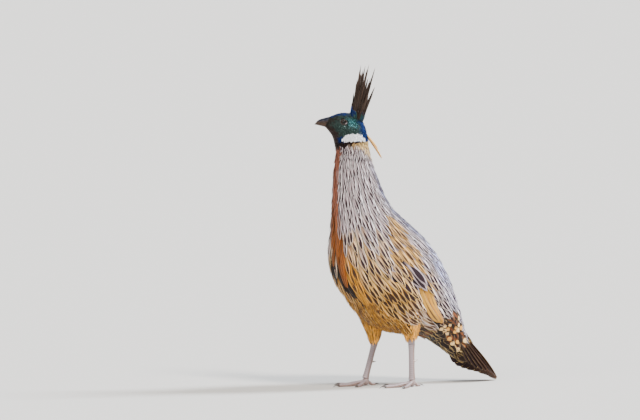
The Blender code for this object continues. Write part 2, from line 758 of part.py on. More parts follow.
def main():
    clear_scene()
    for name in ("koklass_pheasant", "cutters"):
        bpy.context.scene.collection.children.link(bpy.data.collections.new(name))
    bird = frame_empty("bird", (0, STAND_Y, 0), 0, None)
    turn = frame_empty("head_turn", (0, TURN_Y, 0), HEAD_TURN, bird)
    head_frame = frame_empty("head_frame", (0, -TURN_Y, 0), 0, turn)
    finish = {
        "ink": material("gloss_green_black", INK, 0.35),
        "silver": material("silver_streaked_feather", SILVER, 0.6),
        "buff": material("buff_feather", BUFF, 0.7),
        "wing": material("brown_wing_feather", WING_BROWN, 0.65),
        "brown": material("dark_tail_feather", BROWN, 0.6),
        "horn": material("horn", HORN, 0.35),
        "leg": material("grey_leg_scale", LEG_GREY, 0.5),
        "eye": material("dark_eye", EYE_BROWN, 0.05),
    }
    head = make_head(finish, head_frame)
    make_bill(finish, head_frame, head)
    make_crest(finish, head_frame, head)
    make_plume(finish, head_frame, head)
    body_piece("neck", beside_cut(HEAD_CUT, 1), beside_cut(NECK_CUT, -1), 11, 20, finish["silver"], bird)
    torso = body_piece(
        "torso", beside_cut(NECK_CUT, 1), beside_cut(TAIL_CUT, -1), 16, 24, finish["silver"], bird
    )
    wings = []
    for name, side in (("left", 1), ("right", -1)):
        wing = make_wing(name, side, finish, bird, torso)
        make_leg(name, finish, bird, torso, wing)
        wings.append(wing)
    make_tail(finish, bird, torso, wings)


if __name__ == "__main__":
    main()
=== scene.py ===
"""Looks of the koklass pheasant: an adult male, feather by feather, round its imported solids.

One skin lies inside the solids of head, neck, trunk and thighs. Feathers are closed vanes laid in rows
over it along the lie of the plumage, and each carries the colours of its own place. Lengths are in
metres, the bird faces -Y, and the origin lies on the floor.
"""

import functools
import math
import types

import bpy
import numpy as np
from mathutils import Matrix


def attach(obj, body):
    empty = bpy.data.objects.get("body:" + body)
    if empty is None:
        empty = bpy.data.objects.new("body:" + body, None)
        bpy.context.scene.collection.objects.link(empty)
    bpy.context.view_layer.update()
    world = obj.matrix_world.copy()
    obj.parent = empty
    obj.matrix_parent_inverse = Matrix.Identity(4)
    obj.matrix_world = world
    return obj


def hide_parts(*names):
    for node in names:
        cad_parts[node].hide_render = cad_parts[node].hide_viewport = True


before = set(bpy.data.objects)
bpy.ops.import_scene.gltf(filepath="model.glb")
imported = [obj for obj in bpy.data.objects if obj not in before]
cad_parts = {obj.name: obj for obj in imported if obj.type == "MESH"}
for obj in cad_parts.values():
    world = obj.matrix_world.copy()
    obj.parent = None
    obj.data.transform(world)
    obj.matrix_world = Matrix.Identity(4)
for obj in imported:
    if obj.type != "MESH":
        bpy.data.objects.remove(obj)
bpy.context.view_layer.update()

bl_info = {
    "name": "Koklass pheasant",
    "version": (1, 0, 0),
    "blender": (4, 5, 0),
    "location": "3D View > Sidebar > Pheasant",
    "description": "Feathers, bill, eyes, legs and crest of a koklass pheasant on its packed solids",
    "category": "Add Mesh",
}

# The feet stand this far ahead of the middle of the bird's length.
STAND = np.array((0.0, -0.0420, 0.0))

# The coat's stations from the bill's root (0) to past the tail's root (22), as in the solids: the
# back's line as y and z, the throat, breast and belly line as y and z, and half the width.
STATIONS = (
    (-0.1128, 0.4326, -0.1198, 0.4172, 0.0062),
    (-0.1071, 0.4345, -0.1180, 0.4163, 0.0088),
    (-0.0982, 0.4378, -0.1160, 0.4146, 0.0118),
    (-0.0868, 0.4394, -0.1139, 0.4125, 0.0142),
    (-0.0722, 0.4366, -0.1120, 0.4100, 0.0156),
    (-0.0592, 0.4280, -0.1095, 0.4070, 0.0170),
    (-0.0527, 0.4160, -0.1071, 0.4035, 0.0182),
    (-0.0486, 0.4000, -0.1039, 0.3950, 0.0188),
    (-0.0475, 0.3880, -0.1025, 0.3860, 0.0198),
    (-0.0455, 0.3760, -0.1010, 0.3740, 0.0215),
    (-0.0370, 0.3480, -0.1050, 0.3420, 0.0265),
    (-0.0240, 0.3160, -0.1070, 0.3000, 0.0335),
    (-0.0080, 0.2890, -0.1080, 0.2540, 0.0435),
    (0.0200, 0.2660, -0.1090, 0.2080, 0.0545),
    (0.0520, 0.2410, -0.0980, 0.1700, 0.0610),
    (0.0780, 0.2120, -0.0730, 0.1370, 0.0630),
    (0.0980, 0.1810, -0.0400, 0.1050, 0.0600),
    (0.1140, 0.1500, -0.0010, 0.0868, 0.0530),
    (0.1270, 0.1220, 0.0380, 0.0800, 0.0420),
    (0.1370, 0.0980, 0.0720, 0.0726, 0.0300),
    (0.1460, 0.0800, 0.0980, 0.0604, 0.0210),
    (0.1560, 0.0620, 0.1240, 0.0430, 0.0140),
    (0.1660, 0.0460, 0.1480, 0.0330, 0.0080),
)
# The power that makes the trunk's sections squarer. The head's turn about an upright axis at TURN_Y,
# which grows from one station to the other. The skin's last station.
TRUNK_POWER = 0.86
HEAD_TURN = math.radians(-25)
TURN_Y = -0.073
TURN_FROM, TURN_TO = 13.5, 9.0
SKIN_END = 20.7

# Depth of the skin under the coat's surface, by station.
SKIN_DEPTHS = ((0, 3, 6, 8.4, 12, 16, 20.7), (0.0007, 0.0010, 0.0014, 0.0022, 0.0038, 0.0044, 0.0030))

# Folded wing, as in the solids: its patch of the flank by stations and turns, and its thickness.
WING_T = (12.9, 18.95)
WING_LOW = (math.radians(118), math.radians(98))
WING_HIGH = (math.radians(58), math.radians(52))
WING_THICK = 0.0042

# How deep a wing's tiers start, the gap between them, how far they rise where they show, and the
# thickness and least half width of their feathers.
WING_SUNK, TIER_GAP, WING_RISE = 0.0032, 0.0002, 0.0026
WING_VANE, WING_LEAST = 0.0006, 0.0002

# Depth of the thighs' skin under their outline, and a feather's least half width.
THIGH_COAT = 0.0026
LEAST_HALF_WIDTH = 0.00006

# Rows of body feathers by station: the distance between rows, between neighbours in a row, a
# feather's length and half its width, in millimetres.
ROW_STATIONS = (0.0, 3.0, 7.0, 8.3, 9.2, 10.5, 12.0, 14.0, 16.5, 19.0)
ROW_SIZES = (
    (1.4, 1.3, 3.2, 0.95),
    (2.0, 1.8, 5.0, 1.40),
    (2.6, 2.2, 7.5, 1.80),
    (5.4, 3.8, 20.0, 2.40),
    (8.4, 4.9, 30.0, 2.80),
    (11.0, 5.6, 39.0, 3.30),
    (13.5, 7.0, 47.0, 4.00),
    (15.0, 8.0, 52.0, 4.60),
    (14.0, 7.8, 48.0, 4.40),
    (11.0, 6.8, 38.0, 4.00),
)
# Half width of the chestnut stripe by station, on the left of the middle and on the right.
STRIPE = (
    (8.2, 9.8, 11.2, 12.2, 13.2, 13.8, 14.5, 15.4),
    (0.0120, 0.0150, 0.0130, 0.0145, 0.0190, 0.0215, 0.0200, 0.0110),
)
STRIPE_FAR = ((12.0, 12.8, 13.4, 14.2), (0.0125, 0.0070, 0.0015, 0.0))
# The same four sizes in metres for tail coverts, which grow by station, and for belly and thighs.
COVERT_SIZE = (0.0118, 0.0108, 0.0320, 0.0072)
COVERT_GROWTH = ((18.0, 20.5), (1.0, 1.45))
FLUFF_SIZE = (0.0052, 0.0036, 0.0210, 0.0014)
# First and last stations with roots of feathers, by coat, and where the neck's feathers end.
RUNS = {"coat": (8.0, 21.2), "covert": (16.2, 20.8), "head": (0.25, 8.4), "belly": (14.2, 16.9)}
NECK_END = 11.6
# Seeds of the random draws, by coat, and how far roots move by chance, as shares of their distances.
SEEDS = {"coat": 21, "head": 8, "fluff": 31, "wing": 5, "tail": 3, "crest": 11}
SHIFTS = (0.22, 0.16)

# Bill: lines of the ridge, the mouth and the lower edge from root to tip, as y and z, and half widths.
RIDGE = ((-0.1131, 0.4323), (-0.1212, 0.4303), (-0.1290, 0.4274), (-0.1352, 0.4208))
MOUTH = ((-0.1170, 0.4240), (-0.1230, 0.4240), (-0.1290, 0.4228), (-0.1343, 0.4205))
LOWER = ((-0.1196, 0.4174), (-0.1245, 0.4187), (-0.1290, 0.4198), (-0.1326, 0.4207))
BILL_WIDTHS = (0.0062, 0.0053, 0.0035, 0.0009)
LOWER_WIDTHS = (0.0056, 0.0046, 0.0027, 0.0008)
MOUTH_GAP = 0.0004
# Nostril's place as y and z, half its slot's length and height, and the same of the lid over it, with
# the lid's height over the slot.
NOSTRIL = (-0.1192, 0.4276)
NOSTRIL_SLOT = (0.0023, 0.0009)
NOSTRIL_LID = (0.0030, 0.0011, 0.0013)

# Eye on the left side, its radius, the skin's hollow for it, the lids' opening, thickness and wrinkles,
# and how far from the eye's axis feathers end.
EYE = np.array((0.0113, -0.0903, 0.4246))
EYE_RADIUS = 0.0056
EYE_HOLLOW = 0.0032
LID_RADII = (0.0046, 0.0032)
LID_THICK, LID_WRINKLE = 0.00058, 0.00006
LID_ROOM = 0.0054
PUPIL, EYE_RIM = (0.002, 0.002, 0.002), (0.006, 0.004, 0.003)

# Legs: hips, hocks and ankles as y and z, and toes by turn, length, half width and claw.
HIP_X, HOCK_X, ANKLE_X = 0.034, 0.031, 0.031
LEGS = {
    "left": {"side": 1, "hip": (0.004, 0.132), "hock": (0.020, 0.0675), "ankle": (0.021, 0.0115)},
    "right": {"side": -1, "hip": (-0.018, 0.132), "hock": (-0.009, 0.0650), "ankle": (-0.026, 0.0115)},
}
# Share of the thigh that is feathered, and its stoutness.
LEGS["left"].update(bare=0.71, stout=1.0)
LEGS["right"].update(bare=0.82, stout=0.84)
THIGH_WIDTHS = (0.024, 0.0225, 0.0175, 0.0115, 0.0068)
SHANK_DEPTH, SHANK_WIDTH = 0.0047, 0.0035
TOES = {
    "inner": (-34, 0.038, 0.0030, 0.010),
    "middle": (0, 0.052, 0.0032, 0.012),
    "outer": (36, 0.041, 0.0030, 0.010),
    "hind": (188, 0.017, 0.0023, 0.009),
}
# Height of a thigh's round top as a share of its length, heights of the toes' roots, and the foot's ball.
THIGH_DOME = 0.35
TOE_HEIGHT, HIND_RISE = 0.0062, 0.0085
FOOT_RADIUS = 0.0054
# Plates down the shank's front and scales down its rear: their number and height. Plates along a toe:
# their length and height. Pads under it: their length and height.
SHANK_PLATES, SHANK_PLATE_HEIGHT = 17, 0.00055
SHANK_SCALES, SHANK_SCALE_HEIGHT = 40, 0.00018
TOE_PLATE, TOE_PLATE_HEIGHT = 0.0026, 0.0004
TOE_PAD, TOE_PAD_HEIGHT = 0.0016, 0.00012
# Spur: its place from hock to ankle, length and half width at the foot.
SPUR_PLACE, SPUR_LENGTH, SPUR_WIDTH = 0.48, 0.0095, 0.0021

# Tail, as in the solids: root and tip as y and z, how far it spreads and drops on each side, its outer
# feathers' roll, and the share of its length by which they are shorter.
TAIL_ROOT = (0.1304, 0.0898)
TAIL_TIP = (0.2118, 0.0010)
TAIL_SPREAD, TAIL_DROP = 0.0245, 0.034
TAIL_ROLL = math.radians(62)
TAIL_SHORTER = 0.525
# Arcs by which the feathers' folds spread and drop, how far feathers bow up, and their pairs, half
# width and thickness, with the crest's thickness.
SPREAD_ARC, DROP_ARC = 1.25, 1.35
TAIL_BOW = 0.0018
TAIL_PAIRS = 8
TAIL_HALF_WIDTH = 0.0150
TAIL_VANE, CREST_VANE = 0.0007, 0.0005

# Crest and plume in the unturned head's plane, as y and z: the roots' line, places of bunches along the
# line of tips, and that line.
CREST_ROOTS = ((-0.0790, 0.4340), (-0.0580, 0.4290))
CREST_BUNCHES = (0.0, 1.0, 1.6, 2.0, 2.35, 2.7, 3.0, 3.3, 3.65, 4.0, 4.5, 5.0, 6.0, 7.0)
CREST_TIPS = (
    (-0.0735, 0.4580),
    (-0.0660, 0.4920),
    (-0.0600, 0.5150),
    (-0.0530, 0.5140),
    (-0.0470, 0.5150),
    (-0.0445, 0.4930),
    (-0.0370, 0.5110),
    (-0.0370, 0.4800),
)
PLUME_ROOT = (-0.0545, 0.4075)
PLUME_COUNT = 9
PLUME_TIPS = ((-0.0262, 0.3655), (-0.0290, 0.3720), (-0.0330, 0.3800))

# Shares of a feather's length at which its rings lie.
VANE_SHARES = np.array((0, 0.18, 0.36, 0.52, 0.66, 0.78, 0.88, 0.95, 1.0))
SHORT_SHARES = np.array((0, 0.3, 0.6, 0.85, 1.0))
# Points round the skin, rings and points of a thigh's skin, of an eyeball, and of a lid's tube.
SKIN_AROUND = 96
THIGH_GRID, BALL_GRID, LID_GRID = (30, 32), (28, 40), (56, 12)
# One turn of the wave that draws a vane's barbs.
WAVE = 6.2832
# Sun lamps by name, azimuth, elevation, power, angle and colour, and the sky's and floor's measures.
LAMPS = (
    ("key", 92, 48, 4.9, 14, (1.0, 0.94, 0.86)),
    ("front", 20, 28, 1.6, 35, (1.0, 0.93, 0.84)),
    ("rim", 160, 42, 7.4, 15, (0.90, 0.95, 1.0)),
)
SKY_STRENGTH = 0.54
FLOOR_REACH, FLOOR_GAP = 120, 0.0002
# The picture's middle lies this far right of and above the point between the feet.
PICTURE_MIDDLE = (-0.112, 0.2816)

# A feather's colours, the settings that aren't colours, and the sides.
COLOURED = ("tone", "mark", "rim")
LENGTHS = ("coat_lift", "distance", "width")
SIDES = {"left": 1, "right": -1}
# Least coordinates of a point, a feather's patch in the bake's map, and the step for slopes.
ABOVE_FLOOR = (-np.inf, -np.inf, 0.0)
PATCH = 0.003
NEAR = 0.01
PREFIX = "pheasant"


def rgb(name, description, default):
    """A colour setting."""
    return bpy.props.FloatVectorProperty(
        name=name, description=description, default=default, size=3, subtype="COLOR", min=0, max=1
    )


def length(name, description, default):
    """A length setting."""
    return bpy.props.FloatProperty(name=name, description=description, default=default, min=0, unit="LENGTH")


class PheasantBody(bpy.types.PropertyGroup):
    """Sizes and colours of the trunk's plumage."""

    coat_lift: length("Coat lift", "How far feather tips stand off the body's outline", 0.0004)
    silver: rgb("Silver", "Vanes of the neck, mantle and breast sides", (0.41, 0.325, 0.345))
    # Frost is partly the back's own pale grey and partly painted rim light: its blue and its brightness stand
    # in for light from behind.
    frost_and_rim_light: rgb("Frost", "Vanes along the back's ridge", (0.47, 0.50, 0.80))
    tan: rgb("Tan", "Vanes of the lower flank", (0.61, 0.330, 0.075))
    pale: rgb("Pale rim", "Edges of the silver feathers", (0.88, 0.82, 0.82))
    cream: rgb("Cream rim", "Edges of the tan feathers", (0.88, 0.60, 0.24))
    ink: rgb("Ink", "Shaft streaks", (0.020, 0.011, 0.015))
    chestnut: rgb("Chestnut", "Stripe down the throat and breast", (0.26, 0.086, 0.050))
    rust: rgb("Rust", "Lower end of that stripe", (0.25, 0.074, 0.012))
    gold: rgb("Gold", "Belly and thighs", (0.46, 0.200, 0.022))
    buff: rgb("Buff", "Shoulder feathers and the neck's upper band", (0.30, 0.170, 0.058))
    rufous: rgb("Rufous", "Tail coverts", (0.170, 0.052, 0.017))
    soot: rgb("Soot", "Tail and tail coverts", (0.014, 0.009, 0.007))
    umber: rgb("Umber", "Brown marks of wing, vent and belly", (0.045, 0.022, 0.012))


class PheasantHead(bpy.types.PropertyGroup):
    """Colours of head, crest and plume."""

    green: rgb("Green", "Gloss of the head", (0.026, 0.046, 0.042))
    teal: rgb("Teal", "Brighter green behind the eye", (0.012, 0.080, 0.086))
    blue: rgb("Blue", "Forehead, crest's foot and nape", (0.007, 0.026, 0.125))
    umber: rgb("Umber", "Throat and lores", (0.028, 0.017, 0.014))
    white: rgb("White", "Neck patch", (0.93, 0.95, 1.0))
    crest: rgb("Crest", "Crest feathers", (0.024, 0.015, 0.011))
    plume: rgb("Plume", "Plume behind the nape", (0.72, 0.36, 0.09))


class PheasantHard(bpy.types.PropertyGroup):
    """Colours of bill, eyes, legs and claws."""

    bill: rgb("Bill", "Ridge of the bill", (0.008, 0.009, 0.018))
    mouth: rgb("Mouth edge", "Lower half of the bill", (0.042, 0.024, 0.016))
    iris: rgb("Iris", "Iris", (0.016, 0.008, 0.005))
    lid: rgb("Lid", "Rim of the lids", (0.022, 0.017, 0.013))
    scute: rgb("Scute", "Plates of legs and toes", (0.28, 0.225, 0.240))
    shank_rear: rgb("Leg behind", "Rear of the legs", (0.30, 0.195, 0.170))
    claw: rgb("Claw", "Claws", (0.060, 0.048, 0.045))
    spur: rgb("Spur", "Spurs", (0.46, 0.40, 0.36))


class PheasantStage(bpy.types.PropertyGroup):
    """Camera, light and floor."""

    azimuth: bpy.props.FloatProperty(
        name="Azimuth", description="Camera's turn round the bird", default=math.radians(55), subtype="ANGLE"
    )
    elevation: bpy.props.FloatProperty(
        name="Elevation", description="Camera's angle over the horizon", default=math.radians(3),
        subtype="ANGLE",
    )
    distance: length("Distance", "Camera's distance", 9.0)
    width: length("Width", "Width of the picture at the bird", 1.024)
    floor: rgb("Floor", "Floor", (0.58, 0.57, 0.555))


def settings(group):
    return getattr(bpy.context.scene, f"{PREFIX}_{group}")


def colour(group, name):
    return np.array(getattr(settings(group), name))


def along(keys, t):
    """Cubic curve through the rows of keys, which lie one unit of t apart, with the keys' own slopes."""
    keys = np.asarray(keys, float)
    t = np.clip(np.asarray(t, float), 0, len(keys) - 1)
    i = np.minimum(t.astype(int), len(keys) - 2)
    f = t - i
    if keys.ndim > 1:
        f = f[..., None]
    slope = np.gradient(keys, axis=0)
    return (
        keys[i] * (2 * f**3 - 3 * f**2 + 1)
        + slope[i] * (f**3 - 2 * f**2 + f)
        + keys[i + 1] * (3 * f**2 - 2 * f**3)
        + slope[i + 1] * (f**3 - f**2)
    )


def ease(u):
    """Smooth step: 3u squared less 2u cubed, with u held between 0 and 1."""
    u = np.clip(u, 0, 1)
    return u * u * (3 - 2 * u)


def unit(vectors):
    return vectors / np.maximum(np.linalg.norm(vectors, axis=-1, keepdims=True), 1e-12)


def mix(first, second, share):
    """Colours mixed by a share for each feather."""
    return first + (np.asarray(second) - first) * np.asarray(share, float)[..., None]


def wrapped(phi):
    """The turn brought between minus and plus half a turn."""
    return np.arctan2(np.sin(phi), np.cos(phi))


def stacked(*parts):
    """Arrays or numbers brought to one size, as the last axis of one array."""
    return np.stack(np.broadcast_arrays(*parts), -1)


def circle(count):
    """Turns of the points of a ring."""
    return np.linspace(0, 2 * np.pi, count, endpoint=False)


def turned(points, angle):
    """Points turned about the neck's upright axis."""
    cos, sin = np.cos(angle), np.sin(angle)
    x, y = points[..., 0], points[..., 1] - TURN_Y
    return stacked(x * cos - y * sin, x * sin + y * cos + TURN_Y, points[..., 2])


def on_head(points):
    """Points given in the unturned head's frame, put in place."""
    return turned(np.asarray(points, float), HEAD_TURN) + STAND


def off_head(points):
    """Points in place, given back in the unturned head's frame."""
    return turned(points - STAND, -HEAD_TURN)


def coat_point(t, phi):
    """Point of the coat's outline: station t along the body, phi round from the back over the left side.

    A section's middle and half depth come from the curve through the stations. The cosine of phi takes
    the half depth and its sine the half width, each raised to a power that makes the trunk squarer.
    """
    t, phi = np.broadcast_arrays(np.asarray(t, float), np.asarray(phi, float))
    row = along(STATIONS, t)
    middle = (row[..., 0:2] + row[..., 2:4]) / 2
    half = (row[..., 0:2] - row[..., 2:4]) / 2
    power = 1 + (TRUNK_POWER - 1) * ease((t - 9) / 4)
    cos, sin = (np.sign(part) * np.abs(part) ** power for part in (np.cos(phi), np.sin(phi)))
    line = middle + half * cos[..., None]
    points = stacked(row[..., 4] * sin, line[..., 0], line[..., 1])
    return turned(points, HEAD_TURN * ease((TURN_FROM - t) / (TURN_FROM - TURN_TO))) + STAND


def normal_on(surface, a, b):
    """Outward direction of a surface: the cross product of its slopes along b and along a."""
    run = surface(a + NEAR, b) - surface(a - NEAR, b)
    side = surface(a, b + NEAR) - surface(a, b - NEAR)
    return unit(np.cross(side, run))


def wing_spread(u):
    """Share of its full width that the folded wing has at u."""
    return np.sin(np.pi * np.clip(0.03 + 0.94 * u, 0, 0.97)) ** 0.45


def wing_frame(u):
    """Station of the folded wing at u from wrist to tip, and the turns of its lower and upper edges."""
    return [first + (last - first) * u for first, last in (WING_T, WING_LOW, WING_HIGH)]


def wing_turn(side, u, s):
    """Station and turn of the folded wing at u from wrist to tip and s across from its lower edge."""
    t, low, high = wing_frame(u)
    return t, side * (low + (high - low) * (0.5 + (s - 0.5) * wing_spread(u)))


def wing_rise(t, phi):
    """Height of the folded wing over the flank at station t and turn phi."""
    u = (t - WING_T[0]) / (WING_T[1] - WING_T[0])
    _, low, high = wing_frame(u)
    s = 0.5 + ((np.abs(wrapped(phi)) - low) / (high - low) - 0.5) / wing_spread(np.clip(u, 0, 1))
    swell = np.clip(1 - (2 * s - 1) ** 2, 0, 1) ** 0.6
    return WING_THICK * ease(0.1 + u * 4) * ease((1.0 - u) * 6) * swell


def winged_point(t, phi):
    """Coat's outline with the folded wings' swelling, and drawn out over the tops of the thighs.

    Where the outline lies x deeper than a thigh's own surface, it moves out by half of x plus the root
    of x squared and 4 mm squared, so that it runs smoothly on to the thigh.
    """
    outline = coat_point(t, phi)
    normals = normal_on(coat_point, t, phi)
    rise = wing_rise(t, phi)
    for leg in LEGS.values():
        inside = within_thigh(leg, outline)[0]
        rise = rise + (inside + np.sqrt(inside**2 + 0.004**2)) / 2 * ease((0.03 + inside) / 0.02)
    return outline + normals * rise[..., None]


def skin_point(t, phi):
    """Skin: the winged outline less the coat's depth, with a hollow for each eye."""
    outline = winged_point(t, phi)
    place = off_head(outline)
    beside = ease((np.abs(place[..., 0]) - 0.005) / 0.004) * (t < 7)
    hollow = EYE_HOLLOW * ease((0.0062 - from_eye(place)) / 0.0025) * beside
    return outline - normal_on(coat_point, t, phi) * (np.interp(t, *SKIN_DEPTHS) + hollow)[..., None]


def from_eye(place):
    """Distance from the nearer eye's axis, for places in the unturned head's frame."""
    return np.hypot(place[..., 1] - EYE[1], place[..., 2] - EYE[2])


def leg_ends(leg):
    """Hip and hock in place."""
    return [np.array((leg["side"] * x, *leg[key])) + STAND for x, key in ((HIP_X, "hip"), (HOCK_X, "hock"))]


def thigh_width(leg, share):
    """Half width of a thigh at a share of the way from hip to hock."""
    return np.interp(share, np.linspace(0, 1, len(THIGH_WIDTHS)), THIGH_WIDTHS) * leg["stout"]


def within_thigh(leg, points):
    """How deep points lie in a thigh's surface, and their share of the way from hip to hock."""
    hip, hock = leg_ends(leg)
    bone = hock - hip
    share = np.clip((points - hip) @ bone / (bone @ bone), 0, 1)
    away = np.linalg.norm(points - hip - share[..., None] * bone, axis=-1)
    return thigh_width(leg, share) * 1.02 - away, share


def thigh_point(leg, share, turn):
    """Thigh's outline: share from hip to hock and turn round it, with a round top over the hip."""
    share, turn = np.broadcast_arrays(np.asarray(share, float), np.asarray(turn, float))
    hip, hock = leg_ends(leg)
    held = np.clip(share, 0, 1)
    middle = hip + (hock - hip) * share[..., None] + np.array((0, 0.004, 0)) * np.sin(held * np.pi)[..., None]
    width = thigh_width(leg, held)
    width = width * np.sqrt(np.clip(1 - (np.minimum(share, 0) / THIGH_DOME) ** 2, 0.0004, 1))
    run = unit(hock - hip)
    side = unit(np.array((1, 0, 0)) - run * run[0])
    deep = np.cross(run, side)
    return middle + side * (np.cos(turn) * width)[..., None] + deep * (np.sin(turn) * width * 1.1)[..., None]


def math_node(operation, reflected=False):
    """A method of Value that adds one Math node, with its inputs swapped where it is reflected."""

    def method(value, *others):
        inputs = (*others, value) if reflected else (value, *others)
        return value.finish.put("Math", {"operation": operation}, dict(enumerate(inputs)))

    return method


class Value:
    """A socket of a material's nodes. Sums of values become Math nodes."""

    __add__ = __radd__ = math_node("ADD")
    __sub__ = math_node("SUBTRACT")
    __rsub__ = math_node("SUBTRACT", reflected=True)
    __mul__ = __rmul__ = math_node("MULTIPLY")
    __abs__ = math_node("ABSOLUTE")
    most = math_node("MAXIMUM")
    sine = math_node("SINE")

    def __init__(self, finish, node, out):
        self.finish, self.node, self.socket = finish, node, node.outputs[out]

    def also(self, out):
        """Another output of the same node."""
        return Value(self.finish, self.node, out)

    def step(self, low, high):
        """0 at low and 1 at high, with a smooth step between them."""
        values = {"Value": self, "From Min": low, "From Max": high}
        return self.finish.put("MapRange", {"interpolation_type": "SMOOTHSTEP"}, values)

    def pick(self, first, second):
        """The first colour where this value is 0 and the second where it is 1."""
        return self.finish.put("Mix", {"data_type": "RGBA"}, {0: self, 6: first, 7: second}, 2)

    def tint(self, factor):
        """This colour times a value."""
        grey = self.finish.put("CombineXYZ", {}, {0: factor, 1: factor, 2: factor})
        return self.finish.put("VectorMath", {"operation": "MULTIPLY"}, {0: self, 1: grey})


class Finish:
    """A material under construction."""

    def __init__(self, name, **uniform):
        self.material = bpy.data.materials.new(name)
        self.material.use_nodes = True
        self.tree = self.material.node_tree
        self.shader = self.tree.nodes["Principled BSDF"]
        for key, value in uniform.items():
            self.shader.inputs[key.replace("_", " ")].default_value = value

    def put(self, kind, choices=None, values=None, out=0):
        """Adds a node of a kind, makes its choices, then sets or links its inputs."""
        node = self.tree.nodes.new("ShaderNode" + kind)
        for key, value in (choices or {}).items():
            setattr(node, key, value)
        for key, value in (values or {}).items():
            self.feed(node.inputs[key], value)
        return Value(self, node, out)

    def feed(self, socket, value):
        """Links a value to a socket, or sets the socket to a number or a colour."""
        if isinstance(value, Value):
            self.tree.links.new(value.socket, socket)
        elif socket.type == "RGBA":
            socket.default_value = (*value, 1.0)
        else:
            socket.default_value = value

    def show(self, **inputs):
        """Feeds the shader's inputs, and returns the material."""
        for key, value in inputs.items():
            self.feed(self.shader.inputs[key.replace("_", " ")], value)
        return self.material

    def bump(self, height, distance, strength=1.0):
        return self.put("Bump", {}, {"Height": height, "Distance": distance, "Strength": strength})

    def attribute(self, name, out="Color"):
        return self.put("Attribute", {"attribute_name": name}, out=out)

    def object_place(self):
        return self.put("TexCoord", out="Object")

    def noise(self, place, scale, detail=3.0, stretch=(1, 1, 1)):
        """Noise from 0 to 1 over a place, with each axis stretched."""
        moved = self.put("Mapping", {}, {"Vector": place, "Scale": stretch})
        return self.put("TexNoise", {}, {"Vector": moved, "Scale": scale, "Detail": detail})


def feather_finish(name, gloss, metal=0.0, sheen=0.05, barbs=34.0):
    """Feather vanes. Every vane carries its vane, streak and rim colours and the widths of its marks.

    The streak follows the shaft, widest past the middle. The rim follows both edges and the tip, and
    the spot sits near the tip. Barbs are fine ridges that slant from the shaft to the edges.
    """
    f = Finish(name, Roughness=gloss, Sheen_Weight=sheen, Sheen_Roughness=0.4, Specular_IOR_Level=0.12)
    uv = f.put("UVMap", {"uv_map": "vane"})
    split = f.put("SeparateXYZ", {}, {0: uv})
    share = split.also(1)
    across = abs(split * 2.0 - 1.0)
    tone = f.attribute("tone")
    mark = f.attribute("mark")
    rim = f.attribute("rim")
    chance = f.attribute("chance", "Fac")
    seed = f.put("CombineXYZ", {}, {0: split * 3.0, 1: share * 9.0, 2: chance * 60.0})
    ragged = f.put("TexNoise", {}, {"Vector": seed, "Scale": 1.0, "Detail": 3.0}) - 0.5
    grain = f.put("TexNoise", {}, {"Vector": seed, "Scale": 4.0, "Detail": 2.0}) - 0.5
    width = tone.also("Alpha") * share.step(0.22, 0.66) * share.step(1.0, 0.76)
    streak = (width - across + ragged * 0.22 * tone.also("Alpha")).step(-0.05, 0.07)
    edge = across.most((share - 0.90) * 8.0 + 0.3) + ragged * 0.16
    rimmed = (edge - 1.0 + mark.also("Alpha")).step(-0.10, 0.12)
    reach = (across * 0.55) * (across * 0.55) + (share - 0.80) * (share - 0.80) * 5.0
    spot = (rim.also("Alpha") - reach + ragged * 0.04).step(-0.01, 0.02)
    barb = ((share * barbs - across * 2.5) * WAVE).sine()
    body = tone.tint((1.0 + ragged * 0.45 + grain * 0.3) * (0.82 + across * 0.25))
    body = body.tint(1.0 - barb.most(0.0) * 0.10)
    body = streak.pick(body, mark)
    body = rimmed.pick(body, rim)
    body = spot.pick(body, rim)
    # Painted shade: each vane is darkened towards its root, where the feathers over it overlap.
    body = body.tint(share.step(0.0, 0.5) * 0.5 + 0.5)
    shaft = across.step(0.10, 0.02)
    height = barb * 0.25 + shaft
    if metal:
        green = f.put("SeparateColor", {}, {0: tone}, 1)
        f.show(Metallic=green.step(0.4, 0.15) * metal)
    return f.show(Base_Color=body, Normal=f.bump(height, 0.00025, 0.5))


def mesh_object(name, points, faces, finish, maps=None, tints=None):
    """A mesh from points and arrays of faces, one array for each number of corners.

    The faces are turned round together where the volume that they enclose is negative.
    """
    volume = 0.0
    for block in faces:
        first = points[block[:, 0]]
        for k in range(1, block.shape[1] - 1):
            volume += np.einsum("ij,ij->", first, np.cross(points[block[:, k]], points[block[:, k + 1]]))
    if volume < 0:
        faces = [block[:, ::-1] for block in faces]
    corners = np.concatenate([block.ravel() for block in faces]).astype(np.int32)
    sizes = np.concatenate([np.full(len(block), block.shape[1]) for block in faces])
    mesh = bpy.data.meshes.new(name)
    mesh.vertices.add(len(points))
    mesh.vertices.foreach_set("co", points.astype(np.float32).ravel())
    mesh.loops.add(len(corners))
    mesh.polygons.add(len(sizes))
    mesh.polygons.foreach_set("loop_start", np.concatenate([[0], np.cumsum(sizes)[:-1]]).astype(np.int32))
    mesh.polygons.foreach_set("vertices", corners)
    mesh.update(calc_edges=True)
    for key, uv in (maps or {}).items():
        layer = mesh.uv_layers.new(name=key, do_init=False)
        layer.data.foreach_set("uv", uv[corners].astype(np.float32).ravel())
    for key, values in (tints or {}).items():
        kind = "FLOAT" if values.ndim == 1 else "FLOAT_COLOR"
        made = mesh.attributes.new(key, kind, "POINT")
        made.data.foreach_set("value" if kind == "FLOAT" else "color", values.astype(np.float32).ravel())
    mesh.validate()
    mesh.shade_smooth()
    mesh.materials.append(finish)
    obj = bpy.data.objects.new(name, mesh)
    bpy.context.scene.collection.objects.link(obj)
    return obj


def placed(obj, slot, *nodes):
    """Hangs a finished piece on the bird and hides the solids that it stands for."""
    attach(obj, "root")
    if nodes:
        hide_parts(*nodes)
    return obj


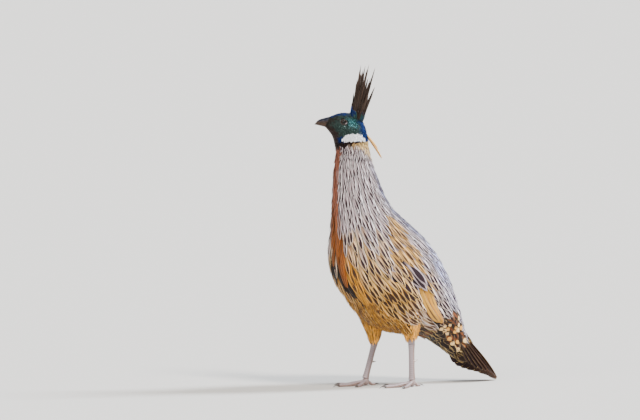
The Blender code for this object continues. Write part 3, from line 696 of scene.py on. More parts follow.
def loft_faces(count, rings, around, start=0):
    """Faces of closed lofts, ring after ring, with a cap at each end."""
    first = start + np.arange(count)[:, None, None] * rings * around
    i = np.arange(rings - 1)[:, None] * around
    j = np.arange(around)
    k = (j + 1) % around
    quads = stacked(first + i + j, first + i + around + j, first + i + around + k, first + i + k)
    base = first[:, 0]
    caps = np.concatenate([base + j, base + (rings - 1) * around + j[::-1]])
    return [quads.reshape(-1, 4), caps]


def joined_faces(shapes):
    """Faces of groups of lofts that follow each other in one mesh, from each group's count and size."""
    faces, start = {}, 0
    for count, rings, around in shapes:
        for block in loft_faces(count, rings, around, start):
            faces.setdefault(block.shape[1], []).append(block)
        start += count * rings * around
    return [np.concatenate(group) for group in faces.values()]


def loft_object(name, rings, finish):
    """One closed loft through rings of points. Its map runs round it and along it."""
    count, around = rings.shape[:2]
    u, v = np.meshgrid(np.arange(around) / around, np.linspace(0, 1, count))
    uv = stacked(1 - np.abs(2 * u - 1), v).reshape(-1, 2)
    return mesh_object(name, rings.reshape(-1, 3), loft_faces(1, count, around), finish, {"round": uv})


def tube_rings(path, depths, widths, around, across=(1, 0, 0)):
    """Ellipses carried along a path: widths along the across direction, depths square to it."""
    across = np.asarray(across, float)
    run = unit(np.gradient(path, axis=0))
    side = unit(across - run * (run @ across)[:, None])
    up = np.cross(run, side)
    angle = circle(around)[:, None]
    wide = np.cos(angle) * np.asarray(widths)[:, None, None]
    deep = np.sin(angle) * np.asarray(depths)[:, None, None]
    return path[:, None] + side[:, None] * wide + up[:, None] * deep


def outline(share, peak, power):
    """Half width of a vane along its length: a sine bent so that it is widest at peak."""
    bent = np.clip(share, 0, 1) ** (math.log(0.5) / math.log(peak))
    return np.maximum(np.sin(np.pi * bent), 0) ** power


def section(columns):
    """Round a vane's section: places across from -1 to 1 over the top and back under, and its faces."""
    top = np.linspace(-1, 1, columns + 1)
    below = top[-2:0:-1]
    face = np.concatenate([np.where(np.abs(top) < 1, 1.0, 0.0), -np.ones(len(below))])
    return np.concatenate([top, below]), face


def vane_batch(path, normals, half, thick, roof, roll, columns, looks, roots, patch=PATCH):
    """Vanes along many paths at once, each a lens section that is widest across the surface.

    A point is the path, plus the side direction times the half width and its place across, plus the up
    direction times half the thickness, less the roof's fall, which grows with the square of that place.
    """
    count, rings = path.shape[:2]
    x, face = section(columns)
    run = unit(np.gradient(path, axis=1))
    side = unit(np.cross(normals, run))
    up = np.cross(run, side)
    cos, sin = np.cos(roll)[:, None, None], np.sin(roll)[:, None, None]
    side, up = side * cos + up * sin, up * cos - side * sin
    flat = np.sqrt(np.clip(1 - x**2, 0, 1)) * face * 0.5
    share = np.linspace(0, 1, rings)
    body = np.minimum(half / np.maximum(half.max(axis=1, keepdims=True), 1e-9) + 0.2, 1)
    half = half[..., None]
    height = thick * flat * body[..., None] - roof * half * x**2
    points = path[:, :, None] + side[:, :, None] * (half * x)[..., None] + up[:, :, None] * height[..., None]
    vane = stacked((x + 1) / 2, share[:, None] + np.zeros((count, 1, 1)))
    bake = roots[:, None, None] + (vane - 0.5) * np.asarray(patch)
    tints = {"chance": np.repeat(looks["chance"], rings * len(x))}
    for key, size in zip(COLOURED, ("streak", "edge", "spot")):
        four = np.concatenate([looks[key], looks[size][:, None]], axis=1)
        tints[key] = np.repeat(four, rings * len(x), axis=0)
    return {"points": points, "vane": vane, "OFBake": bake, "tints": tints}


def vane_object(name, batches, finish):
    """One mesh from batches of vanes."""
    flat = {
        key: np.concatenate([batch[key].reshape(-1, batch[key].shape[-1]) for batch in batches])
        for key in ("points", "vane", "OFBake")
    }
    points = flat.pop("points")
    tints = {key: np.concatenate([batch["tints"][key] for batch in batches]) for key in batches[0]["tints"]}
    blocks = joined_faces(batch["points"].shape[:3] for batch in batches)
    return mesh_object(name, points, blocks, finish, flat, tints)


def paths_on(surface, a, b, heading, reach, shares):
    """Paths over a surface that start at (a, b) and run on along a, turned by heading towards b.

    Each step moves a and b by the step's length over the surface's own slope along each of them.
    """
    a, b = np.array(a, float), np.array(b, float)
    places = [(a, b)]
    for step in np.diff(shares):
        here = surface(a, b)
        run = np.linalg.norm(surface(a + NEAR, b) - here, axis=-1) / NEAR
        side = np.linalg.norm(surface(a, b + NEAR) - here, axis=-1) / NEAR
        a = a + step * reach * np.cos(heading) / np.maximum(run, 1e-4)
        b = b + step * reach * np.sin(heading) / np.maximum(side, 1e-4)
        places.append((a, b))
    return np.stack(places, -1)


def lattice(surface, first, last, sizes, rng, around=(0, 2 * math.pi)):
    """Roots in rows round a body from station first to last, like bricks, each moved a little by chance."""
    a = first
    turn = np.linspace(*around, 181)
    spots = []
    odd = 0
    while a < last:
        row_gap, gap = sizes(a)[:2]
        ring = surface(np.full_like(turn, a), turn)
        steps = np.linalg.norm(np.diff(ring, axis=0), axis=-1)
        grown = np.concatenate([[0], np.cumsum(steps)])
        count = max(int(round(grown[-1] / gap)), 4)
        at = (np.arange(count) + 0.5 * odd + rng.uniform(-SHIFTS[1], SHIFTS[1], count)) / count % 1
        b = np.interp(at * grown[-1], grown, turn)
        speed = np.linalg.norm(surface(a + NEAR, turn) - ring, axis=-1).mean() / NEAR
        spots.append(stacked(a + rng.uniform(-SHIFTS[0], SHIFTS[0], count) * row_gap / speed, b))
        a += row_gap / speed
        odd = 1 - odd
    return np.concatenate(spots)


def row_sizes(t):
    """Distance between rows, between neighbours, length and half width of feathers at station t."""
    table = np.array(ROW_SIZES) / 1000
    return [np.interp(t, ROW_STATIONS, table[:, k]) for k in range(4)]


def colours(group):
    """All colours of a group of settings, by name."""
    names = [key for key in GROUPS[group].__annotations__ if key not in LENGTHS]
    return types.SimpleNamespace(**{key: colour(group, key) for key in names})


def start_looks(tone, chance, **values):
    """Looks of feathers: colours of vane, streak and rim, the sizes of their marks, and each one's chance."""
    looks = {"tone": tone, "mark": tone, "rim": tone, "streak": 0.0, "edge": 0.2, "spot": -1.0, **values}
    for key, value in looks.items():
        looks[key] = np.broadcast_to(value, (len(chance), 3) if key in COLOURED else (len(chance),))
    return {**looks, "chance": chance}


def paint(looks, share, **values):
    """Blends the named marks towards new values, by a share for each feather."""
    for key, value in values.items():
        now = looks[key]
        looks[key] = mix(now, value, share) if key in COLOURED else now + (value - now) * share


def band(value, low, high, soft):
    """1 between low and high, and 0 beyond a soft edge half inside and half outside them."""
    return ease((value - low) / soft + 0.5) * ease((high - value) / soft + 0.5)


def head_looks(t, turn, chance):
    """Head's colours: dark green, blue along ridge and nape, brown lores and throat, and the white patch.

    Edges lie at stations t and at turns in degrees from the crown.
    """
    head = colours("head")
    spread = chance * 2 - 1
    tone = mix(head.green, head.umber, ease((3.6 - t + spread) / 2.4) * 0.75)
    tone = tone * (0.6 + 0.8 * (chance * 7 % 1))[..., None]
    cheek = ease(1.0 - ((t - 4.9) / 1.3) ** 2 - ((turn - 66) / 28) ** 2 + spread * 0.4)
    tone = mix(tone, head.teal, cheek * 0.8)
    ridge = ease((50 - turn + spread * 6) / 14) * ease((4.0 - t) / 0.8)
    nape = ease((60 - turn + spread * 10 + 5 * (t - 5.6)) / 18) * ease((t - 4.6) / 0.9)
    tone = mix(tone, head.blue * (0.5 + 0.8 * (chance * 13 % 1))[..., None], np.maximum(ridge, nape))
    tone = mix(tone, head.umber, ease((turn - 122 + spread * 8) / 22) * ease((t - 0.5) / 1))
    tone = mix(tone, head.blue * 0.7, band(t, 6.6, 7.5, 0.2) * band(turn, 112, 146, 12))
    arch = np.sqrt(np.clip(1 - ((turn - 86) / 46) ** 2, 0, 1))
    low = 7.40 + 0.10 * (88 - turn) / 45
    white = band(t, low - 0.98 * arch - 0.03 * spread, low, 0.04) * (arch > 0.12)
    tone = mix(tone, head.blue * 0.3, ease((t - low) / 0.06 + 0.5) * band(turn, 44, 150, 10))
    tone = mix(tone, head.white, white)
    rim = tone * (1.7 - 0.7 * white[:, None])
    return start_looks(tone, chance, mark=tone * 0.5, rim=rim, edge=0.12, streak=-0.3)


def plumage(t, phi, chance):
    """Colours and marks of feathers whose showing ends lie at station t and turn phi.

    Each paint call lays one marking over those before it. A share falls from 1 to 0 across the
    marking's edge, and chance moves that edge a little for each feather. Edges lie at stations t, at
    turns in degrees from the back, at heights over the floor and at metres across from the middle.
    """
    body, head = colours("body"), colours("head")
    turn = turn_degrees(phi)
    spread, other = chance * 2 - 1, chance * 7 % 1
    height = coat_point(t, phi)[..., 2]
    across = along(STATIONS, t)[..., 4] * np.sin(phi)
    warm = ease((0.268 - height + 0.03 * spread) / 0.11) * ease((turn - 62 + 10 * spread) / 30)
    warm = warm * (1 - 0.7 * ease((t - 15.6) / 0.8))
    looks = start_looks(
        mix(body.silver, body.tan, warm * 0.85) * (0.8 + 0.4 * other)[:, None],
        chance,
        rim=mix(body.pale, body.cream, warm),
        mark=body.ink,
        streak=0.56 + 0.16 * spread,
        edge=0.27,
    )
    low = ease((0.190 - height + 0.01 * spread) / 0.05) * ease((turn - 92) / 24)
    rim = mix(body.cream * 0.9, body.gold * 1.7, 0.5 * chance)
    tone = mix(body.gold, body.tan, other)
    paint(looks, low, tone=tone, rim=rim, mark=body.umber * 0.7, streak=0.68 + 0.14 * spread)
    # Painted rim light: along the back's ridge the vanes, rims and streaks are painted bluer, and paler
    # towards the rump, partly their own grey and partly light from behind.
    frost_and_rim_light = ease((58 + 16 * ease((t - 14) / 2) - turn + spread * 8) / 26) * ease((t - 9.0) / 2)
    paleness_and_rim_light = (0.46 + 0.8 * ease((t - 13.4) / 2))[:, None]
    rim = body.pale * (1.0, 1.06, 1.16) * np.minimum(paleness_and_rim_light, 1)
    mark = body.ink * (1.6, 1.6, 2.6)
    paint(looks, frost_and_rim_light, tone=body.frost_and_rim_light * paleness_and_rim_light, rim=rim, mark=mark, streak=0.62, edge=0.28)
    # The rump's feathers are painted paler still: partly their own pale grey, partly painted rim light.
    rump = frost_and_rim_light * ease((t - 15.6) / 1.6)
    paint(looks, rump * 0.8, tone=body.pale * (0.98, 0.98, 1.05), rim=body.pale * (1.12, 1.14, 1.12))

    place = ((t - 13.5) / 1.5) ** 2 + ((turn - 73 - 7 * (t - 13.2)) / 17) ** 2
    shoulder = ease((1 - place + spread * 0.25) / 0.4) * 0.9
    tone = mix(body.buff * 1.1, body.tan, chance)
    streak = 0.36 + 0.30 * (other > 0.6)
    paint(looks, shoulder, tone=tone, rim=tone * 1.35, mark=body.umber, streak=streak)

    scallop = ease((t - 16.1 + spread * 0.3) / 0.5) * band(turn + spread * 4, 101, 132, 8)
    tone = mix(body.silver, body.tan, chance)
    rim = mix(body.cream, body.pale, other)
    paint(looks, scallop, tone=tone, rim=rim, mark=body.umber * 1.4, edge=0.30, streak=0.60)
    belly = ease((turn - 146 + 8 * np.clip(t - 14.4, 0, 3) + spread * 7) / 14) * ease((t - 13.8) / 0.6)
    tone = body.gold * (0.6 + 0.8 * other)[:, None]
    rim = mix(body.gold * 1.5, body.cream, chance)
    streak = 0.25 + 0.35 * (other > 0.4)
    paint(looks, belly, tone=tone, rim=rim, mark=body.umber, streak=streak, edge=0.28)

    # The stripe ends in a slanting black band.
    half = np.where(across > 0, np.interp(t, *STRIPE), np.interp(t, *STRIPE_FAR))
    down = t - 14.05 - 47 * across
    front = turn > 90
    inside = ease((half - np.abs(across) + spread * 0.0016) / 0.0022 + 0.3) * front
    rust = mix(body.chestnut, body.rust, ease((t - 10.5) / 2.5)) * (0.75 + 0.5 * other)[:, None]
    paint(looks, band(t, 8, 13.6, 0.6) * band(np.abs(across) - half, 0, 0.005, 0.002), streak=0.72)
    inside = inside * ease((0.3 - down) / 0.2)
    paint(looks, inside, tone=rust, rim=rust * 1.3, mark=body.umber, streak=0.22)
    dark = band(down + 0.06 * spread, -0.26, 0.52, 0.2) * band(across, -0.016, 0.027, 0.004)
    dark = dark * (t > 13.3) * front
    paint(looks, dark, tone=body.soot, rim=body.soot * 3, streak=0.1)
    beside = band(across - half, 0.001, 0.014, 0.004) * band(t, 13.2, 15.4, 0.6) * front
    paint(looks, beside * (other > 0.25), tone=body.gold * 1.1, rim=body.gold * 1.9, mark=body.umber)

    vent = ease((t - 16.8 + spread * 0.2) / 0.5) * ease((turn - 118 + spread * 4) / 8)
    tone = mix(body.soot * 1.6, body.rufous, (other > 0.6) * 0.8)
    paint(looks, vent, tone=tone, rim=body.cream * 0.9, edge=0.12, streak=0.2)

    # The golden band under the head has a dark upper edge and a black collar in front.
    golden = ease((10.1 - t - 0.012 * turn + 0.3 * spread) / 1.2) * ease((146 - turn) / 14)
    tone = mix(body.cream * 0.8, body.buff * 1.3, ease((turn - 60) / 40))
    paint(looks, golden, tone=tone, rim=body.cream * 1.2, streak=0.2, mark=body.umber)
    under = ease((8.05 - t + 0.1 * spread) / 0.45)
    paint(looks, under, tone=body.umber, rim=body.umber * 2.2, streak=0.0)
    collar = ease((7.95 + 0.75 * ease((turn - 85) / 45) - t + 0.1 * spread) / 0.2) * ease((turn - 84) / 16)
    paint(looks, collar, tone=head.umber * 0.5, rim=head.umber, streak=0.0)
    paint(looks, ease((7.56 - t) / 0.06), **head_looks(t, turn, chance))
    return looks


def turn_degrees(phi):
    """Turn from the back towards the belly in degrees, the same on both sides."""
    return np.degrees(np.abs(wrapped(phi)))


def covert_zone(t, phi):
    """1 over the spotted coverts round the tail's root, falling to 0 at their edge."""
    turn = turn_degrees(phi)
    return ease((t - 17.75 - 0.012 * (turn - 80)) / 0.1) * ease((turn - 58 - 4 * (t - 17.75)) / 4)


def covert_looks(t, phi, chance):
    """Dark and rufous tail coverts, most with a round pale spot near the tip."""
    body = colours("body")
    other = chance * 7 % 1
    under = ease((turn_degrees(phi) - 106 - 7 * np.clip(t - 18, 0, 1.5)) / 8)
    tone = mix(body.soot * 1.6, body.rufous, np.where(other > 0.8, 0.8, 0.05) * (1 - under))
    mark = mix(body.rufous, body.soot, np.maximum(other > 0.55, under))
    rim = mix(body.cream * (0.88, 0.84, 0.9), body.gold * 1.4, (chance * 17 % 1 > 0.7) * 0.8)
    spot = np.where((chance > 0.28) & (under < 0.5), 0.17 + 0.12 * other, -1.0)
    looks = start_looks(tone, chance, mark=mark, rim=rim, edge=0.04, streak=0.34, spot=spot)
    paint(looks, under, edge=0.13, rim=body.cream, streak=0.2)
    return looks


def fluff_looks(t, phi, chance, light=1.0):
    """Soft gold, brown and cream feathers of belly and thighs, mixed by chance wherever they lie. Light
    paints light into them: at 2.5, on the thighs, they are painted brighter, with paler rims and fewer brown
    ones, than at 1 on the belly.
    """
    body = colours("body")
    brown = (chance * 7 % 1 > 0.72) * np.clip(1.6 - 0.6 * light, 0, 0.8)
    tone = mix(body.gold * light, body.umber * 2, brown)
    tone = tone * (0.5 + 0.9 * (chance * 13 % 1))[:, None]
    rim = mix(body.gold * 1.7, body.cream, 0.3 * light * chance)
    rim = mix(tone, rim, np.clip(chance * light - 0.2, 0, 1))
    streak = np.where(chance > 0.7, 0.3, 0.0)
    return start_looks(tone, chance, rim=rim, mark=tone * 0.4, edge=0.36, streak=streak)


def bake_roots(t, phi, last=SKIN_END):
    """Places on the skin's unwrap: turn across and station along."""
    return stacked(0.5 + wrapped(phi) / (2 * np.pi) * 0.98, 0.01 + 0.98 * np.clip(t / last, 0, 1))


def laid_vanes(
    surface, spots, sizes, looks, rng, rise, shares=VANE_SHARES, columns=4, bare=None, loose=0.06,
    depths=SKIN_DEPTHS, last=SKIN_END,
):
    """Feathers laid over a surface from their roots, rising from the skin to the coat's outline.

    A feather's height is minus 0.9 of the coat's depth at its root and rise at its tip. Feathers for
    which bare is true on some part of their path are left out. The surface's unwrap ends at last.
    """
    t, phi = spots[:, 0], spots[:, 1]
    count = len(t)
    _, _, reach, half = sizes(t)
    reach = reach * rng.uniform(0.84, 1.12, count)
    half = half * rng.uniform(0.86, 1.12, count)
    sway = 0.8 * loose * np.sin(t * 5.1 + 2 * np.sin(phi * 4)) + rng.normal(0, loose, count)
    a, b = paths_on(surface, t, phi, sway, reach, shares)
    if bare:
        kept = ~bare(a, b)
        t, phi, a, b, half, count = t[kept], phi[kept], a[kept], b[kept], half[kept], kept.sum()
    normals = normal_on(surface, a, b)
    depth = np.interp(t, *depths)
    tip = rise + rng.uniform(-0.3, 0.6, count) * depth * 0.28
    lift = -(depth * 0.9)[:, None] * (1 - shares) ** 0.8 + tip[:, None] * shares**2
    path = surface(a, b) + normals * lift[..., None]
    wide = np.maximum(half[:, None] * outline(shares, 0.56, 0.72), LEAST_HALF_WIDTH)
    thick = np.clip(half * 0.08, 0.00012, 0.00035)[:, None, None]
    chance = rng.uniform(0, 1, count)
    roll = rng.normal(0, 0.10, count)
    shown = np.argmin(np.abs(shares - 0.75))
    marks = looks(a[:, shown], b[:, shown], chance)
    return vane_batch(path, normals, wide, thick, 0.06, roll, columns, marks, bake_roots(t, phi, last))


def make_skin():
    """The skin of head, neck, trunk and thighs as one closed surface."""
    f = Finish("skin_under_feathers", Roughness=0.75)
    place = f.object_place()
    tone = f.attribute("tone")
    mottle = f.noise(place, 260.0) - 0.5
    finish = f.show(Base_Color=tone.tint(0.45 + mottle * 0.4), Normal=f.bump(mottle, 0.0006))
    t = np.concatenate([np.linspace(0, 8, 90, endpoint=False), np.linspace(8, SKIN_END, 100)])
    faces = loft_faces(1, len(t), SKIN_AROUND)
    t, phi = (grid.ravel() for grid in np.meshgrid(t, circle(SKIN_AROUND), indexing="ij"))
    looks = plumage(t, phi, np.full(len(t), 0.5))
    tints = {"tone": np.append(looks["tone"], np.ones((len(t), 1)), axis=1)}
    skin = mesh_object("skin", skin_point(t, phi), faces, finish, None, tints)
    rings, around = THIGH_GRID
    grids = np.meshgrid(np.linspace(-THIGH_DOME, 1, rings), circle(around), indexing="ij")
    share, turn = (grid.ravel() for grid in grids)
    for name, leg in LEGS.items():
        surface = functools.partial(thigh_point, leg)
        points = surface(share, turn) - normal_on(surface, share, turn) * THIGH_COAT
        part = mesh_object(f"thigh_{name}_skin", points, loft_faces(1, *THIGH_GRID), finish)
        union = skin.modifiers.new("joined", "BOOLEAN")
        union.operation = "UNION"
        union.object = part
        bpy.context.view_layer.update()
        mesh = bpy.data.meshes.new_from_object(skin.evaluated_get(bpy.context.evaluated_depsgraph_get()))
        skin.modifiers.clear()
        skin.data = mesh
        bpy.data.objects.remove(part, do_unlink=True)
    # The union leaves the thighs without colours of their own.
    points = np.empty(len(mesh.vertices) * 3, np.float32)
    tone = np.empty(len(mesh.vertices) * 4, np.float32)
    mesh.vertices.foreach_get("co", points)
    mesh.attributes["tone"].data.foreach_get("color", tone)
    points, tone = points.reshape(-1, 3), tone.reshape(-1, 4)
    for leg in LEGS.values():
        inside, share = within_thigh(leg, points)
        bare = ease((share - leg["bare"] - 0.1) * 12)
        leg_tone = mix(colour("body", "gold"), colour("hard", "scute") * 2, bare)
        tone[:, :3] = np.where((inside > 0)[:, None], leg_tone, tone[:, :3])
    mesh.attributes["tone"].data.foreach_set("color", tone.ravel())
    placed(skin, "silver_plumage", "neck", "torso", "head", "thigh_left", "thigh_right")


def wing_strip(t, phi):
    """1 where the folded wing shows between flank and back feathers, falling to 0 at the strip's edge."""
    middle = np.interp(t, (15.0, 16.7, 18.0), (86, 93.5, 100))
    reach = np.interp(t, (14.9, 15.2, 16.0, 16.8, 17.8, 18.0), (0, 4.5, 6, 5, 3.5, 0))
    return ease((reach - np.abs(turn_degrees(phi) - middle)) / 2 + 0.5)


def make_trunk_coat():
    """Lanceolate feathers of neck, mantle, back, breast and flanks, and the spotted tail coverts."""
    rng = np.random.default_rng(SEEDS["coat"])
    finish = feather_finish("silver_streaked_feather", 0.65)
    spots = lattice(coat_point, *RUNS["coat"], row_sizes, rng)
    t, phi = spots[:, 0], spots[:, 1]
    rise = settings("body").coat_lift

    def bare(a, b):
        return (wing_strip(a[:, -3:], b[:, -3:]).max(axis=1) > 0.5) | (covert_zone(a[:, -3], b[:, -3]) > 0.5)

    groups = {
        "neck_feathers": t < NECK_END,
        "left_flank_feathers": (t >= NECK_END) & (np.sin(phi) > 0),
        "right_flank_feathers": (t >= NECK_END) & (np.sin(phi) <= 0),
    }
    for name, chosen in groups.items():
        batch = laid_vanes(winged_point, spots[chosen], row_sizes, plumage, rng, rise, bare=bare)
        placed(vane_object(name, [batch], finish), "silver_plumage")

    def plain(a, b):
        return covert_zone(a[:, -3], b[:, -3]) < 0.5

    def covert_sizes(t):
        return np.multiply.outer(COVERT_SIZE, np.interp(t, *COVERT_GROWTH))

    spots = lattice(winged_point, *RUNS["covert"], covert_sizes, rng)
    batch = laid_vanes(winged_point, spots, covert_sizes, covert_looks, rng, 0.0012, bare=plain)
    placed(vane_object("tail_covert_feathers", [batch], finish), "tail_plumage")


def make_head_coat():
    """Small glossy feathers of the head, kept clear of the eyes."""
    rng = np.random.default_rng(SEEDS["head"])
    finish = feather_finish("gloss_green_feather", 0.34, 0.5, 0.0, 14.0)
    spots = lattice(coat_point, *RUNS["head"], row_sizes, rng)

    def bare(a, b):
        return from_eye(off_head(coat_point(a, b))).min(axis=1) < LID_ROOM

    batch = laid_vanes(coat_point, spots, row_sizes, plumage, rng, 0.0001, SHORT_SHARES, 2, bare, 0.10)
    placed(vane_object("head_feathers", [batch], finish), "head_plumage")


def make_fluff():
    """Soft thin feathers of the belly and down each thigh to the hock."""
    rng = np.random.default_rng(SEEDS["fluff"])
    finish = feather_finish("golden_fluff_feather", 0.65)

    def sizes(t):
        return np.multiply.outer(FLUFF_SIZE, np.ones_like(t))

    def away(a, b):
        a_shown, turn = a[:, 4], turn_degrees(b[:, 4])
        return (turn < 150 - 9 * np.clip(a_shown - 14.8, 0, 2)) | (a_shown < 15.0) | (a[:, -1] > 17.2)

    def thigh_sizes(share):
        small = np.interp(share, (0.4, 1), (1, 0.5))
        return np.multiply.outer(FLUFF_SIZE, np.ones_like(small)) * small

    spots = lattice(winged_point, *RUNS["belly"], sizes, rng)
    spots = spots[np.abs(wrapped(spots[:, 1])) > 2.0]
    batch = laid_vanes(winged_point, spots, sizes, fluff_looks, rng, 0.0012, columns=2, bare=away, loose=0.16)
    placed(vane_object("belly_feathers", [batch], finish), "thigh_plumage")
    for name, leg in LEGS.items():

        def surface(share, turn):
            return thigh_point(leg, share, turn * leg["side"])

        spots = lattice(surface, -0.1, leg["bare"], thigh_sizes, rng)
        # Painted light: the thighs' fluff is painted brighter than the belly's.
        batch = laid_vanes(
            surface, spots, thigh_sizes, functools.partial(fluff_looks, light=2.5), rng, 0.0004, columns=2,
            loose=0.12, depths=((0, 1), (THIGH_COAT, THIGH_COAT)), last=1.0,
        )
        placed(vane_object(f"thigh_{name}_feathers", [batch], finish), "thigh_plumage")


# Tiers of the folded wing: feathers, where their roots and tips lie along it, the shares of its width
# that the first and last root and tip take, half width, and how far the tips stand off.
WING_TIERS = (
    (7, 0.55, 1.00, (0.10, 0.50), (0.26, 0.62), 0.0065, 0.0002, "primary"),
    (8, 0.34, 0.83, (0.44, 0.94), (0.01, 0.30), 0.0062, 0.0006, "secondary"),
    (9, 0.22, 0.485, (0.06, 0.94), (0.08, 0.92), 0.0050, 0.0010, "covert"),
    (10, 0.14, 0.42, (0.06, 0.94), (0.08, 0.92), 0.0060, 0.0013, "covert"),
    (9, 0.04, 0.28, (0.08, 0.92), (0.10, 0.90), 0.0055, 0.0015, "covert"),
)


def make_wings():
    """Folded wings: tiers of primaries, secondaries and coverts, sunk where other feathers cover them."""
    finish = feather_finish("tan_wing_feather", 0.5)
    body = colours("body")
    shares = np.linspace(0, 1, 14)
    for name, side in SIDES.items():
        rng = np.random.default_rng(SEEDS["wing"])
        batches = []
        for tier, (count, u0, u1, roots, tips, half, stand, kind) in enumerate(WING_TIERS):
            part = np.arange(count) / (count - 1)
            reach = u1 + rng.uniform(-0.015, 0.015, count) - 0.06 * np.abs(part - 0.55)
            root, tip = (ends[0] + (ends[1] - ends[0]) * part for ends in (roots, tips))
            s = root[:, None] + (tip - root)[:, None] * shares
            t, phi = wing_turn(side, u0 + (reach[:, None] - u0) * shares, s)
            normals = normal_on(winged_point, t, phi)
            shown = ease((wing_strip(t, phi)[:, 7:].mean(axis=1) - 0.35) * 4)
            lift = -WING_SUNK + TIER_GAP * tier + (WING_RISE + stand) * ease(shares * 1.3) * shown[:, None]
            path = winged_point(t, phi) + normals * lift[..., None]
            wide = np.maximum(half * outline(shares, 0.62, 0.42) * np.ones((count, 1)), WING_LEAST)
            chance = rng.uniform(0, 1, count)
            roll = 0.05 * side + rng.normal(0, 0.02, count)
            tone = mix(body.tan * (0.95, 0.9, 0.6), body.gold * 1.35, chance)
            streak = {"primary": 0.3, "secondary": 0.20, "covert": 0.74}[kind]
            umber = body.umber
            looks = start_looks(tone, chance, rim=umber * 4, mark=umber * 2, edge=0.20, streak=streak)
            if kind == "primary":
                paint(looks, 0.7, tone=body.soot)
            if kind == "covert":
                paint(looks, 1.0, tone=body.silver, rim=body.pale * 0.8, mark=body.ink, edge=0.02)
            at = stacked((part * (count - 1) + 0.5) / count, (tier + 0.5) / len(WING_TIERS))
            patch = (0.9 / (count + 1), 0.18)
            batch = vane_batch(path, normals, wide, WING_VANE, 0.03, roll, 6, looks, at, patch)
            batches.append(batch)
        placed(vane_object(f"wing_{name}_feathers", batches, finish), "wing_plumage", f"wing_{name}")


def tail_batch(side, start, end, fold, half, sink, looks, at, size, shares, roof):
    """Tail feathers from shares of the tail's length: fold 0 at the ridge, 1 outermost."""
    half, sink = (np.broadcast_to(value, fold.shape)[:, None] for value in (half, sink))
    across = np.array(TAIL_TIP) - np.array(TAIL_ROOT)
    ahead = unit(across)
    run, down = np.array((0, *ahead)), np.array((0, ahead[1], -ahead[0]))
    place = start + (end - start)[:, None] * shares
    open_out = 0.30 + 0.70 * ease(place * 1.3)
    spread = np.sin(fold * SPREAD_ARC) / np.sin(SPREAD_ARC)
    fall = (1 - np.cos(fold * DROP_ARC)) / (1 - np.cos(DROP_ARC))
    drop = TAIL_DROP * fall[:, None] * open_out + sink
    bow = TAIL_BOW * np.sin(np.clip(place, 0, 1) * np.pi)
    path = np.array((0, *TAIL_ROOT)) + run * (place * np.linalg.norm(across))[..., None]
    path = path + down * (drop - bow)[..., None]
    path[..., 0] = side * (0.0008 + TAIL_SPREAD * spread[:, None] * open_out)
    path[..., 2] = np.maximum(path[..., 2], TAIL_VANE)
    roll = TAIL_ROLL * fold + math.radians(4)
    normal = stacked(side * np.sin(roll), 0, 0) - down * np.cos(roll)[:, None]
    normals = np.repeat(normal[:, None], len(shares), axis=1)
    wide = half * np.maximum(outline(shares, 0.66, 0.34), 0.06)
    flat = np.zeros(len(fold))
    batch = vane_batch(path + STAND, normals, wide, TAIL_VANE, roof, flat, 6, looks, at, size)
    batch["points"] = np.maximum(batch["points"], ABOVE_FLOOR)
    return batch


# Rows of tail coverts: vanes on each side, where they start and end along the tail, their folds, half
# width and how far they lie over (minus) or under (plus) the tail's own feathers.
TAIL_ROWS = (
    (5, -0.06, 0.24, (0.02, 0.80), 0.0085, -0.0040),
    (5, 0.02, 0.36, (0.05, 0.85), 0.0092, -0.0026),
    (4, -0.04, 0.30, (0.55, 1.00), 0.0100, 0.0075),
    (4, 0.04, 0.42, (0.60, 1.00), 0.0100, 0.0055),
)


def make_tail():
    """Graduated tail feathers in pairs, and rows of coverts over and under their root."""
    rng = np.random.default_rng(SEEDS["tail"])
    finish = feather_finish("dark_tail_feather", 0.42, 0.0, 0.0, 60.0)
    body = colours("body")
    soot, cream = body.soot, body.cream
    shares = np.linspace(0, 1, 20)
    batches = []
    for side in (1.0, -1.0):
        fold = np.arange(TAIL_PAIRS) / (TAIL_PAIRS - 1)
        end = 1.0 - TAIL_SHORTER * fold * (0.75 + 0.25 * fold) + rng.uniform(-0.008, 0.008, TAIL_PAIRS)
        sink = 0.0024 * fold + (0.0011 if side < 0 else 0)
        # The middle pair is brown, and the outer ones are nearly black with a pale rim.
        tone = mix(soot * (11, 9.0, 7.5), soot * (2.0, 1.8, 2.4), ease(fold / 0.8))
        rim = mix(tone * 1.8, cream * 0.6, fold < 0.1)
        rim = mix(rim, cream * 0.7, ease((fold - 0.3) / 0.2))
        chance = rng.uniform(0, 1, TAIL_PAIRS)
        looks = start_looks(tone, chance, mark=tone * 0.6, rim=rim, edge=np.where(fold > 0.1, 0.01, 0.06))
        at = stacked((np.arange(TAIL_PAIRS) + 0.5) / TAIL_PAIRS, 0.25 + 0.12 * side)
        half = TAIL_HALF_WIDTH * (1 - 0.24 * fold)
        batches.append(tail_batch(side, 0.0, end, fold, half, sink, looks, at, (0.11, 0.22), shares, 0.06))
        for row, (count, first, last, folds, half, over) in enumerate(TAIL_ROWS):
            fold = np.linspace(*folds, count)
            end = last - 0.06 * fold + rng.uniform(-0.015, 0.015, count)
            chance = rng.uniform(0, 1, count)
            tone = mix(soot, body.rufous, 0.7 * (chance > 0.6) * (over < 0))
            spot = np.where((over < 0) & (chance > 0.5), 0.2, -1.0)
            looks = start_looks(tone, chance, mark=soot, rim=cream * 0.9, edge=0.03, streak=0.2, spot=spot)
            at = stacked((np.arange(count) + 0.5) / count, 0.50 + row * 0.1 + 0.025 * side)
            patch = (0.16, 0.045)
            batch = tail_batch(side, first, end, fold, half, over, looks, at, patch, shares[::2], 0.10)
            batches.append(batch)
    placed(vane_object("tail_feathers", batches, finish), "tail_plumage", "tail")


